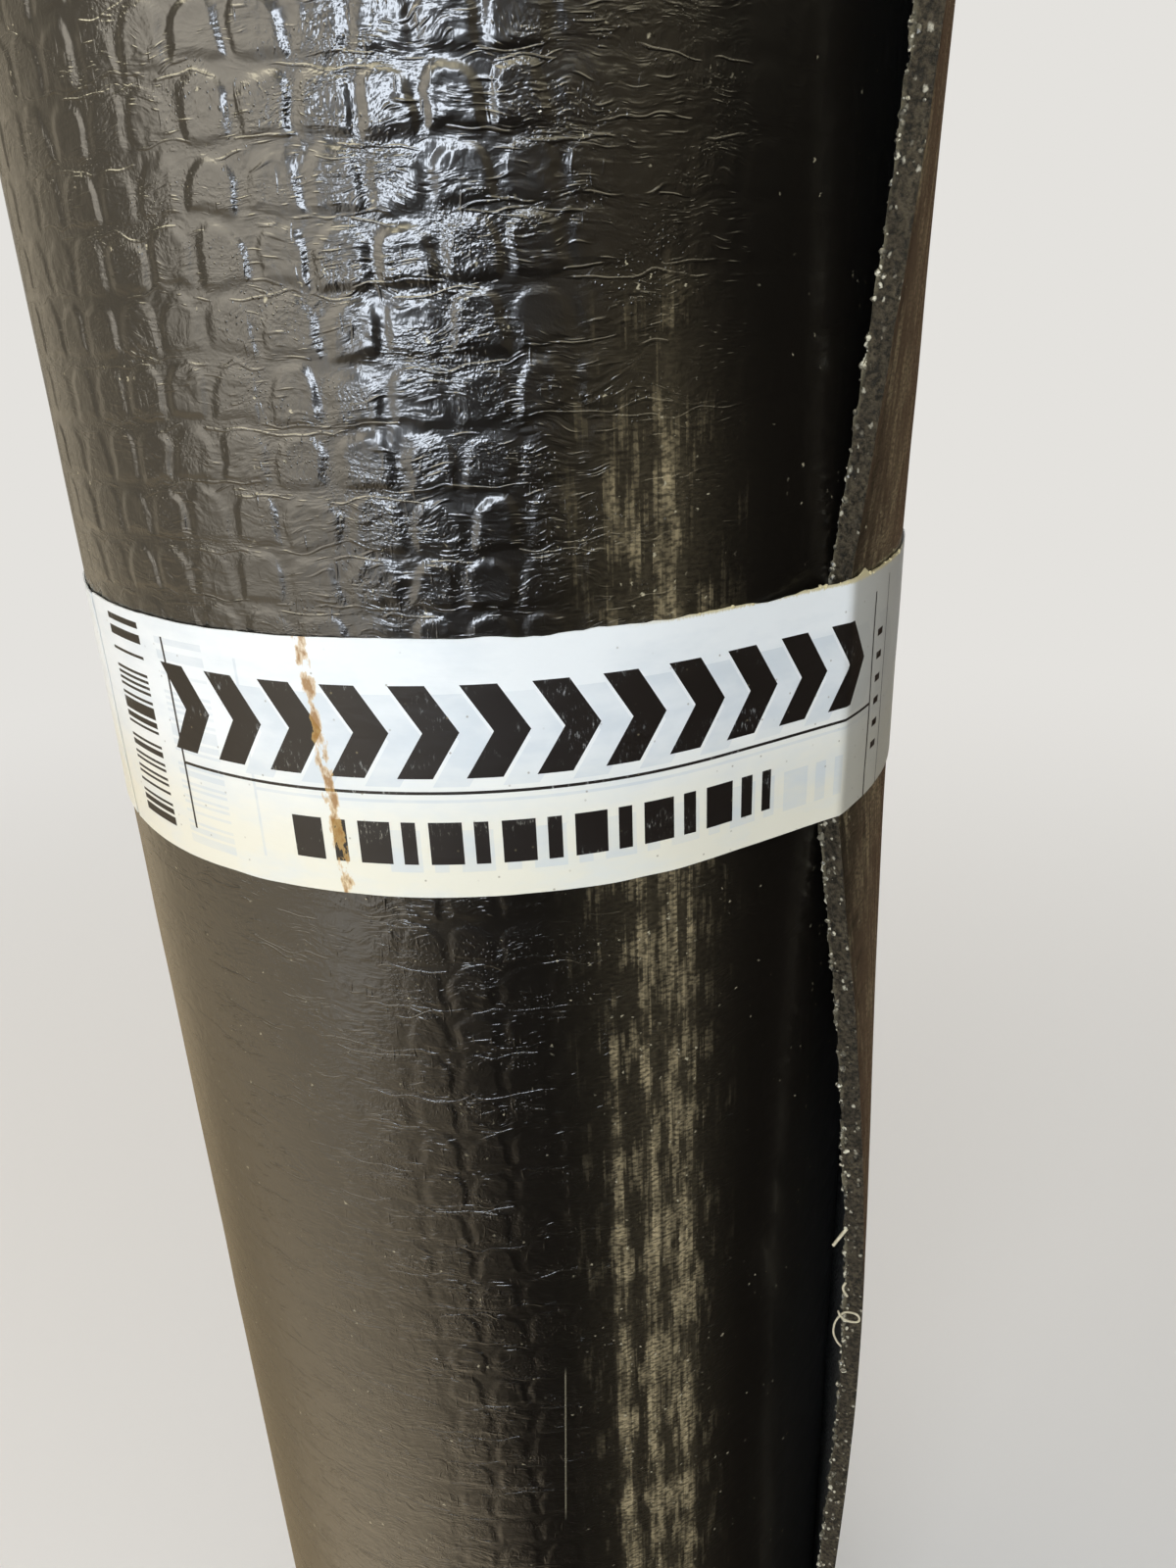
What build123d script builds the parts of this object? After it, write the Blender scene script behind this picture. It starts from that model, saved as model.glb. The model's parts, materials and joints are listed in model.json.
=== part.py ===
"""Roll of roofing felt: one sheet of bitumen membrane wound on itself, held by a printed band."""

from build123d import *
from math import acos, cos, degrees, pi, radians, sin, sqrt
import os

# The sheet, in millimetres
sheet_length = 5000
sheet_width = 1000
sheet_thickness = 4.7
air_between_turns = 0.3

# The winding: the round hole left by the winding bar, and where the outer end of the sheet lies,
# in degrees round +Z from +X
bore_radius = 25
end_direction = -43

# The outer end of the sheet springs open on both sides of the band. free_arc is how much of the
# last turn is loose, in degrees. The bend lost is the share of its bend that the loose part has lost
# where it stands out furthest, at peak_distance from the band's edge. Over settle_distance beyond
# that it settles back to settled_share of it.
free_arc = 40
bend_lost_above = 0.53
bend_lost_below = 0.59
peak_distance = 160
settle_distance = 260
settled_share = 0.3
section_count = 12

# The gap between the turns on both ends of the roll, wider than the air inside because the edges
# are rounded. groove_land is the stretch left whole at the root of the loose end, in degrees.
groove_width = 0.8
groove_depth = 3
groove_land = 1.5

# The band round the middle of the roll
band_width = 50
band_thickness = 0.3
band_clearance = 0.2

# Worked out: each turn takes the sheet's thickness and the air, so the length gives the radius
turn_pitch = sheet_thickness + air_between_turns
inner_centreline = bore_radius + sheet_thickness / 2
outer_centreline = sqrt(inner_centreline**2 + sheet_length * turn_pitch / pi)
outer_radius = outer_centreline + sheet_thickness / 2
turn_count = (outer_centreline - inner_centreline) / turn_pitch
groove_middle = sheet_thickness + air_between_turns / 2
groove_walls = (groove_middle - groove_width / 2, groove_middle + groove_width / 2)
band_bottom = (sheet_width - band_width) / 2
band_top = band_bottom + band_width
end_frame = Plane(
    origin=(0, 0, 0),
    x_dir=(cos(radians(end_direction)), sin(radians(end_direction)), 0),
    z_dir=(0, 0, 1),
)


def half_turn(number, depth):
    """Centre and radius of a half turn of the sheet, at a depth below its outer surface.

    The spiral is a chain of half circles whose centres change sides, as seen from above in the
    frame whose +X runs through the sheet's outer end. Half turn 0 starts there.
    """
    side = 1 if number % 2 == 0 else -1
    centre = (side * turn_pitch / 4, 0)
    return centre, outer_radius - turn_pitch / 4 - number * turn_pitch / 2 - depth


def turn_arc(number, depth, start=0, stop=180):
    """Draw a half turn, or the part of it between two angles from where it starts."""
    centre, radius = half_turn(number, depth)
    return CenterArc(centre, radius, 180 * (number % 2) + start, stop - start)


def point_on_turn(number, depth, angle):
    """A point on a half turn at an angle from where it starts."""
    centre, radius = half_turn(number, depth)
    heading = radians(180 * (number % 2) + angle)
    return Vector(centre[0] + radius * cos(heading), radius * sin(heading))


def spring_share(distance):
    """Share of the greatest spring at a distance beyond the band's edge."""
    if distance < peak_distance:
        return sin(pi / 2 * distance / peak_distance)
    settled = min((distance - peak_distance) / settle_distance, 1)
    return settled_share + (1 - settled_share) * (1 + cos(pi * settled)) / 2


def section_distances(reach):
    """Even distances from the band's edge to the roll's end, one for each section of the loose end."""
    return [reach * step / section_count for step in range(section_count + 1)]


def loose_end_outline(bend_lost):
    """Draw the sheet's loose end: an arc of unchanged length that has lost part of its bend."""
    centre, tight_radius = half_turn(0, sheet_thickness)
    radius = tight_radius / (1 - bend_lost)
    root = radians(free_arc)
    shift = tight_radius - radius
    middle = (centre[0] + shift * cos(root), shift * sin(root))
    tip = free_arc * bend_lost
    inside = CenterArc(middle, radius, tip, free_arc - tip)
    outside = CenterArc(middle, radius + sheet_thickness, tip, free_arc - tip)
    Line(inside @ 0, outside @ 0)
    Line(inside @ 1, outside @ 1)


def groove_outline():
    """Draw the gap between the turns, from the loose end's root in to the sheet's inner end."""
    start = free_arc + groove_land
    last, stop = divmod(360 * (turn_count - 1), 180)
    for depth in groove_walls:
        turn_arc(0, depth, start=start)
        for number in range(1, int(last)):
            turn_arc(number, depth)
        turn_arc(int(last), depth, stop=stop)
    for number, angle in ((0, start), (int(last), stop)):
        Line([point_on_turn(number, depth, angle) for depth in groove_walls])


def band_outline(clearance):
    """Draw round the roll at the band, straight from the sheet's end down to the turn below."""
    centre, radius = half_turn(1, -clearance)
    corner = Vector(outer_radius + clearance, 0)
    leave = 180 - degrees(acos(radius / (corner.X - centre[0])))
    turn_arc(0, -clearance)
    turn_arc(1, -clearance, stop=leave)
    Line(point_on_turn(1, -clearance, leave), corner)


# The wound sheet: the tight turns round the bore, then the loose end of the outermost turn, held
# down under the band and sprung open above and below it, then the turns' edges on both ends
with BuildPart() as felt_roll:
    with BuildSketch(end_frame):
        with BuildLine():
            turn_arc(0, 0, start=free_arc)
            turn_arc(1, 0)
            turn_arc(2, 0, stop=free_arc)
            Line(point_on_turn(2, 0, free_arc), point_on_turn(0, 0, free_arc))
        make_face()
        Circle(bore_radius, mode=Mode.SUBTRACT)
    extrude(amount=sheet_width)

    with BuildSketch(end_frame.offset(band_bottom)):
        with BuildLine():
            loose_end_outline(0)
        make_face()
    extrude(amount=band_width)

    for distance in section_distances(sheet_width - band_top):
        with BuildSketch(end_frame.offset(band_top + distance)):
            with BuildLine():
                loose_end_outline(bend_lost_above * spring_share(distance))
            make_face()
    loft()

    for distance in section_distances(band_bottom):
        with BuildSketch(end_frame.offset(band_bottom - distance)):
            with BuildLine():
                loose_end_outline(bend_lost_below * spring_share(distance))
            make_face()
    loft()

    for groove_floor in (0, sheet_width - groove_depth):
        with BuildSketch(end_frame.offset(groove_floor)):
            with BuildLine():
                groove_outline()
            make_face()
        extrude(amount=groove_depth, mode=Mode.SUBTRACT)
felt_roll.part.label = "felt_roll"

# The band: two laps of tape pressed together, drawn tight over the step of the sheet's end
with BuildPart() as wrapping_band:
    with BuildSketch(end_frame.offset(band_bottom)):
        with BuildLine():
            band_outline(band_clearance + band_thickness)
        make_face()
        with BuildLine():
            band_outline(band_clearance)
        make_face(mode=Mode.SUBTRACT)
    extrude(amount=band_width)
wrapping_band.part.label = "wrapping_band"

os.makedirs("parts", exist_ok=True)
export_step(felt_roll.part, "parts/felt_roll.step")
export_step(wrapping_band.part, "parts/wrapping_band.step")
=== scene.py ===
"""Looks of the roll of roofing felt: embossed film, cut edges, granules, printed band and stage."""
import json
from functools import partial
from math import acos, ceil, cos, degrees, pi, radians, sin, sqrt, tau

import bpy
import numpy as np
from bpy.props import FloatProperty, FloatVectorProperty, IntProperty, PointerProperty
from mathutils import Matrix, Vector

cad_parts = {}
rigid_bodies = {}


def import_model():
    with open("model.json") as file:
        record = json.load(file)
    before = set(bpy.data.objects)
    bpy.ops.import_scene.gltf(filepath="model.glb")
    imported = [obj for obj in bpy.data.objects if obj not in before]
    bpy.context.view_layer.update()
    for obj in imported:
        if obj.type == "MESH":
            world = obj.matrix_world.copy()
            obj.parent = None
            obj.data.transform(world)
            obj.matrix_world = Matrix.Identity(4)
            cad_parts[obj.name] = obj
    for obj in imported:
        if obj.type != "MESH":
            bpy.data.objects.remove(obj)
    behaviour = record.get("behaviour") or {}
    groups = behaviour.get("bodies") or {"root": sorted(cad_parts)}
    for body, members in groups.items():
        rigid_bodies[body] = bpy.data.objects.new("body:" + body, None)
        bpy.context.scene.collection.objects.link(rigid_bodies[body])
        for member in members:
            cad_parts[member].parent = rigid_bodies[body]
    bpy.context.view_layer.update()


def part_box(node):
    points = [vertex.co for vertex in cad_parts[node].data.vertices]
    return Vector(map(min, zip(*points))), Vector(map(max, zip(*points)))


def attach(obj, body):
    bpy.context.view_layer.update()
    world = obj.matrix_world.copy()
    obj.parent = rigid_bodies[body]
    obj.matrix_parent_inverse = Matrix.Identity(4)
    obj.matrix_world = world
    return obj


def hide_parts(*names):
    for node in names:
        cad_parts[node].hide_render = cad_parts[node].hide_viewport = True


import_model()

bl_info = {
    "name": "Roofing Felt Roll",
    "version": (1, 0, 0),
    "blender": (4, 5, 0),
    "location": "3D View > Sidebar > Felt Roll",
    "description": "Dresses a standing roll of bitumen roofing felt with its surfaces, edges and band",
    "category": "Object",
}

MM = 0.001
TO_MM = (1 / MM,) * 3
BODY = "root"

# The side that the photograph shows, -Y, as a direction from +X
FRONT = radians(270)
BAND_LOW, BAND_HIGH = (corner.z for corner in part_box("wrapping_band"))
BAND_MIDDLE = (BAND_LOW + BAND_HIGH) / 2
ROLL_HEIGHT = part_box("felt_roll")[1].z

# What a face of the sheet is
FILM, CUT, MINERAL = range(3)

# Numbers stored on the film face: how strong its cobbles are, how much of them is in the mesh, and
# how strong its creases are
SHARES = ("emboss_share", "carved_share", "crease_share")

MATH = "ShaderNodeMath"
VECTOR = "ShaderNodeVectorMath"
RANGE = "ShaderNodeMapRange"
NOISE = "ShaderNodeTexNoise"
CELLS = "ShaderNodeTexVoronoi"
CHANCE = "ShaderNodeTexWhiteNoise"
MIX = "ShaderNodeMix"
SPLIT = "ShaderNodeSeparateXYZ"
JOIN = "ShaderNodeCombineXYZ"
CHANNELS = "ShaderNodeSeparateColor"
NAMED = "GeometryNodeInputNamedAttribute"
SET_MATERIAL = "GeometryNodeSetMaterial"


def linear(colour):
    """Turn an sRGB hex colour into the linear RGBA that Blender's sockets take."""
    values = [int(colour[i : i + 2], 16) / 255 for i in (1, 3, 5)]
    return (*(v / 12.92 if v <= 0.04045 else ((v + 0.055) / 1.055) ** 2.4 for v in values), 1.0)


class FeltSettings(bpy.types.PropertyGroup):
    """Sizes of the sheet and of the roll that it is wound into."""

    length: FloatProperty(name="Sheet length", description="Length of the unrolled sheet",
                          default=5.0, unit="LENGTH")
    thickness: FloatProperty(name="Sheet thickness", description="Thickness of the sheet",
                             default=4.7 * MM, unit="LENGTH")
    air: FloatProperty(name="Air between turns", description="Gap between one turn and the next",
                       default=0.3 * MM, unit="LENGTH")
    bore_radius: FloatProperty(name="Bore radius", description="Radius of the hole left by the bar",
                               default=25 * MM, unit="LENGTH")
    end_direction: FloatProperty(name="End direction",
                                 description="Where the outer end lies, from +X",
                                 default=radians(-43), unit="ROTATION")
    free_arc: FloatProperty(name="Loose arc", description="Part of the last turn that is loose",
                            default=radians(40), unit="ROTATION")
    lost_above: FloatProperty(name="Bend lost above", default=0.53, subtype="FACTOR",
                              description="Share of its bend that the end has lost above the band")
    lost_below: FloatProperty(name="Bend lost below", default=0.59, subtype="FACTOR",
                              description="Share of its bend that the end has lost below the band")
    peak_distance: FloatProperty(name="Peak distance", default=0.16, unit="LENGTH",
                                 description="From the band to where the end stands out most")
    settle_distance: FloatProperty(name="Settle distance", description="Over which it settles back",
                                   default=0.26, unit="LENGTH")
    settled_share: FloatProperty(name="Settled share", default=0.3, subtype="FACTOR",
                                 description="Share of the spring left at the roll's ends")


class EmbossSettings(bpy.types.PropertyGroup):
    """Sizes of the cobbles that the film face is embossed with."""

    cobble_width: FloatProperty(name="Cobble width", description="From one column to the next",
                                default=10.4 * MM, unit="LENGTH")
    cobble_height: FloatProperty(name="Cobble height", description="From one row to the next",
                                 default=10.0 * MM, unit="LENGTH")
    groove: FloatProperty(name="Groove", description="Width of the groove between cobbles",
                          default=1.0 * MM, unit="LENGTH")
    depth: FloatProperty(name="Depth", description="Height of a cobble above its grooves",
                         default=0.46 * MM, unit="LENGTH")
    waviness: FloatProperty(name="Waviness", description="Height of the film's slow waves",
                            default=0.3 * MM, unit="LENGTH")
    carved: FloatProperty(name="Carved share", default=0.45, subtype="FACTOR",
                          description="Share of the depth that is in the mesh, the rest being bump")


class BandSettings(bpy.types.PropertyGroup):
    """Sizes and colours of the printed tape round the roll."""

    gap: FloatProperty(name="Gap", description="Between the felt and the inner lap",
                       default=0.22 * MM, unit="LENGTH")
    tape: FloatProperty(name="Tape thickness", description="Thickness of one lap",
                        default=0.12 * MM, unit="LENGTH")
    torn_end: FloatProperty(name="Torn end", description="Where the outer lap ends, from the front",
                            default=radians(-58), unit="ROTATION")
    paper: FloatVectorProperty(name="Tape colour", description="Colour of the bare tape", size=4,
                               default=linear("#e6e9e8"), subtype="COLOR", min=0, max=1)
    ink: FloatVectorProperty(name="Ink colour", description="Colour of the print", size=4,
                             default=linear("#15110f"), subtype="COLOR", min=0, max=1)


class GrainSettings(bpy.types.PropertyGroup):
    """Loose mineral on the cut edges."""

    smallest: FloatProperty(name="Smallest grain", description="Radius of the smallest grain",
                            default=0.25 * MM, unit="LENGTH")
    largest: FloatProperty(name="Largest grain", description="Radius of the largest grain",
                           default=1.0 * MM, unit="LENGTH")
    density: FloatProperty(name="Density", description="Grains per square metre", default=9e5)
    seed: IntProperty(name="Seed", description="Chooses where the grains lie", default=7)


class StageSettings(bpy.types.PropertyGroup):
    """Where the photograph was taken from, relative to the middle of the band."""

    camera_place: FloatVectorProperty(name="Camera place", description="From the band's middle",
                                      default=(10.5 * MM, -282.5 * MM, 80.8 * MM), unit="LENGTH")
    yaw: FloatProperty(name="Yaw", description="To the right of +Y", default=radians(1.98),
                       unit="ROTATION")
    pitch: FloatProperty(name="Pitch", description="Below level", default=radians(23.78),
                         unit="ROTATION")
    roll: FloatProperty(name="Roll", description="Tilt about the line of sight",
                        default=radians(-2.22), unit="ROTATION")
    lens: FloatProperty(name="Lens", description="Focal length in millimetres on a 36 mm sensor",
                        default=26.72)
    floor_colour: FloatVectorProperty(name="Floor colour", description="Colour of the floor",
                                      size=4, default=linear("#e4e2de"), subtype="COLOR", min=0,
                                      max=1)


def ease(x, low, high):
    """Rise smoothly from 0 at low to 1 at high, for numbers or arrays."""
    t = np.clip((x - low) / (high - low), 0, 1)
    return t * t * (3 - 2 * t)


def smooth_noise(x, y, seed):
    """Smooth noise from -1 to 1 with about one bump per unit, the same on every run."""
    table = np.random.default_rng(seed).uniform(-1, 1, (128, 128))
    column, row = np.floor(x).astype(int), np.floor(y).astype(int)
    u, v = x - column, y - row
    u, v = u * u * (3 - 2 * u), v * v * (3 - 2 * v)
    size = len(table)
    low = table[column % size, row % size] * (1 - u) + table[(column + 1) % size, row % size] * u
    row = row + 1
    high = table[column % size, row % size] * (1 - u) + table[(column + 1) % size, row % size] * u
    return low * (1 - v) + high * v


def spaced(start, stop, step):
    """Even values from start up to, and without, stop, no further apart than step."""
    count = max(1, ceil(abs(stop - start) / step - 1e-6))
    return start + (stop - start) * np.arange(count) / count


class Winding:
    """The spiral that the sheet lies on. Angles run inward from its outer end, seen from above."""

    def __init__(self, felt):
        self.felt = felt
        self.pitch = felt.thickness + felt.air
        inner = felt.bore_radius + felt.thickness / 2
        outer = sqrt(inner**2 + felt.length * self.pitch / pi)
        self.outer_radius = outer + felt.thickness / 2
        self.turns = (outer - inner) / self.pitch
        # Distance along the sheet from its outer end to the middle of the front, and the vector in
        # millimetres that brings the place where the band crosses that middle to zero
        self.front = (FRONT - felt.end_direction) % tau * self.outer_radius
        self.origin = (-self.front / MM, -BAND_MIDDLE / MM, 0.0)

    def radius(self, angle):
        """Radius of the film face at an angle from the outer end."""
        return self.outer_radius - self.pitch * angle / tau

    def bend_lost(self, height):
        """Share of its bend that the loose end has lost at a height."""
        felt = self.felt
        above = height > BAND_MIDDLE
        distance = np.where(above, height - BAND_HIGH, BAND_LOW - height).clip(0)
        rise = np.sin(pi / 2 * distance / felt.peak_distance)
        settled = ((distance - felt.peak_distance) / felt.settle_distance).clip(0, 1)
        fall = felt.settled_share + (1 - felt.settled_share) * (1 + np.cos(pi * settled)) / 2
        share = np.where(distance < felt.peak_distance, rise, fall)
        return share * np.where(above, felt.lost_above, felt.lost_below)

    def points(self, angle, depth, height):
        """Points at an angle, a depth below the film face and a height, with the end sprung."""
        felt = self.felt
        angle, depth, height = np.broadcast_arrays(angle, depth, height)
        root = felt.free_arc
        inner = self.radius(root) - felt.thickness
        bend = inner / (1 - self.bend_lost(height))
        loose = angle < root
        heading = np.where(loose, root - (root - angle).clip(0) * inner / bend, angle)
        reach = self.radius(angle) - depth
        reach = np.where(loose, reach + bend - inner, reach)
        middle = np.where(loose, inner - bend, 0.0)
        heading = heading + felt.end_direction
        root_heading = root + felt.end_direction
        x = middle * cos(root_heading) + reach * np.cos(heading)
        y = middle * sin(root_heading) + reach * np.sin(heading)
        return np.stack([x, y, height], axis=-1)


def add_object(name, data):
    """An object in the scene that holds this data."""
    made = bpy.data.objects.new(name, data)
    bpy.context.scene.collection.objects.link(made)
    return made


def plain_mesh(name, source):
    """Turn an object and what its modifiers make into an object with a plain mesh."""
    bpy.context.view_layer.update()
    graph = bpy.context.evaluated_depsgraph_get()
    mesh = bpy.data.meshes.new_from_object(source.evaluated_get(graph), depsgraph=graph)
    source.modifiers.clear()
    bpy.data.objects.remove(source)
    mesh.name = name
    return add_object(name, mesh)


def grid_faces(at, outward=True):
    """Faces of a grid of point numbers, turned one way or the other."""
    a, b, c, d = at[:-1, :-1], at[1:, :-1], at[1:, 1:], at[:-1, 1:]
    return np.stack((a, b, c, d) if outward else (a, d, c, b), axis=-1).reshape(-1, 4).tolist()


def mesh_object(name, vertices, faces, uv=None, sharp=45):
    """Make a smooth mesh object at the origin from its points, faces and a UV for each point."""
    mesh = bpy.data.meshes.new(name)
    mesh.from_pydata(np.asarray(vertices).tolist(), [], faces)
    if uv is not None:
        layer = mesh.uv_layers.new(name="sheet")
        corners = np.empty(len(mesh.loops), dtype=np.int64)
        mesh.loops.foreach_get("vertex_index", corners)
        layer.data.foreach_set("uv", np.asarray(uv, dtype=np.float32)[corners].ravel())
    mesh.polygons.foreach_set("use_smooth", [True] * len(mesh.polygons))
    mesh.set_sharp_from_angle(angle=radians(sharp))
    mesh.update()
    return add_object(name, mesh)


def store(piece, name, values, kind="FLOAT", domain="POINT"):
    """Store a number for each point or face of a piece, for its nodes to read."""
    attribute = piece.data.attributes.new(name, kind, domain)
    attribute.data.foreach_set("value", values)


def finished(piece, node):
    """Hand a finished piece over: what it replaces and its body."""
    if node:
        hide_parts(node)
    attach(piece, BODY)
    return piece


def add_node(tree, kind, *values, **settings):
    """Add a node with its settings, and link or set its inputs in order or by name.

    A value may be a node, which gives its first output.
    """
    node = tree.nodes.new(kind)
    names = {socket.name.lower().replace(" ", "_") for socket in node.inputs}
    for name, value in settings.items():
        if name not in names:
            setattr(node, name, value)
    inputs = [socket for socket in node.inputs if socket.enabled]
    by_name = {socket.name.lower().replace(" ", "_"): socket for socket in reversed(inputs)}
    pairs = list(zip(inputs, values))
    pairs += [(by_name[name], value) for name, value in settings.items() if name in names]
    for socket, value in pairs:
        if isinstance(value, bpy.types.Node):
            value = next(output for output in value.outputs if output.enabled)
        if isinstance(value, bpy.types.NodeSocket):
            tree.links.new(value, socket)
        elif value is not None:
            socket.default_value = value
    return node


def per(*sizes):
    """Scale at which one bump of a pattern is as large as these sizes."""
    return tuple(1 / size for size in (*sizes, 1, 1)[:3])


def pattern(add, kind, place, sizes, shift=(0, 0, 0), **settings):
    """Add noise or cells with bumps of these sizes, in the place's unit, flat if there are two."""
    scaled = add(VECTOR, place, per(*sizes), shift, operation="MULTIPLY_ADD")
    dimensions = "noise_dimensions" if kind == NOISE else "voronoi_dimensions"
    settings[dimensions] = "2D" if len(sizes) == 2 else "3D"
    return add(kind, scaled, scale=1.0, **settings)


def new_material(name):
    """An empty node material, and the function that adds a node to it."""
    material = bpy.data.materials.new(name)
    material.use_nodes = True
    material.node_tree.nodes.clear()
    return material, partial(add_node, material.node_tree)


def material_named(name, make, *arguments):
    """The material of that name, made on its first use."""
    return bpy.data.materials.get(name) or make(*arguments)


def cobble_nodes(add, place, width, height, groove):
    """Add nodes for the embossed cobbles, arched on top and flat below, each a little different.

    They work in a material and in Geometry Nodes, on places and sizes in millimetres. Returned are
    the height, from 0 to 1, the place up and down within a row, and a slow vector noise.
    """
    slow = pattern(add, NOISE, place, (45, 80), (3, 7, 0), detail=1.0).outputs["Color"]
    quick = pattern(add, NOISE, place, (9, 8), (8, 1, 0), detail=1.0).outputs["Color"]
    warped = add(VECTOR, slow, (7.0, 4.5, 0), place, operation="MULTIPLY_ADD")
    warped = add(VECTOR, quick, (2.6, 2.8, 0), warped, operation="MULTIPLY_ADD")

    # The noises' mean is taken out, and columns and rows start where the photograph has them
    warped = add(VECTOR, warped, (-3.7, -2.9, 0), operation="ADD")
    split = add(SPLIT, warped)

    # Rows are staggered by up to a share of a column. Corners have one radius below, one above
    stagger_share, square_corner, arched_corner = 0.16, 1.1, 4.1
    row_place = add(MATH, split.outputs["Y"], height, operation="DIVIDE")
    row = add(MATH, row_place, operation="FLOOR")
    stagger = add(CHANCE, row, noise_dimensions="1D")
    column_place = add(MATH, split.outputs["X"], width, operation="DIVIDE")
    column_place = add(MATH, stagger, stagger_share, column_place, operation="MULTIPLY_ADD")
    column = add(MATH, column_place, operation="FLOOR")
    chance = add(CHANCE, add(JOIN, column, row), noise_dimensions="2D")

    x = add(MATH, add(MATH, column_place, operation="FRACT"), -0.5, operation="ADD")
    x = add(MATH, add(MATH, x, operation="ABSOLUTE"), width, operation="MULTIPLY")
    y = add(MATH, add(MATH, row_place, operation="FRACT"), -0.5, operation="ADD")
    y = add(MATH, y, height, operation="MULTIPLY")
    corner = add(MATH, y, 0.0, operation="GREATER_THAN")
    corner = add(MATH, corner, arched_corner - square_corner, square_corner,
                 operation="MULTIPLY_ADD")
    inset = add(MATH, groove, 0.5, corner, operation="MULTIPLY_ADD")
    over_x = add(MATH, x, add(MATH, width, -0.5, inset, operation="MULTIPLY_ADD"), operation="ADD")
    over_y = add(MATH, add(MATH, y, operation="ABSOLUTE"),
                 add(MATH, height, -0.5, inset, operation="MULTIPLY_ADD"), operation="ADD")
    outside = add(JOIN, add(MATH, over_x, 0.0, operation="MAXIMUM"),
                  add(MATH, over_y, 0.0, operation="MAXIMUM"))
    outside = add(VECTOR, outside, operation="LENGTH")
    within = add(MATH, over_x, over_y, operation="MAXIMUM")
    within = add(MATH, within, 0.0, operation="MINIMUM")
    inside = add(MATH, corner, outside, operation="SUBTRACT")
    inside = add(MATH, inside, within, operation="SUBTRACT")

    # How far inside a cobble's edge a place lies gives its rounded rim and the shallow dish within
    rim = add(RANGE, inside, -0.3, 1.6, 0.0, 1.0, interpolation_type="SMOOTHSTEP")
    dish = add(RANGE, inside, 1.6, 3.4, 1.0, 0.86, interpolation_type="SMOOTHSTEP")
    rise = add(RANGE, chance, 0.0, 1.0, 0.4, 1.0)
    for part in (rim, dish):
        rise = add(MATH, rise, part, operation="MULTIPLY")
    return rise, y, slow


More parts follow.
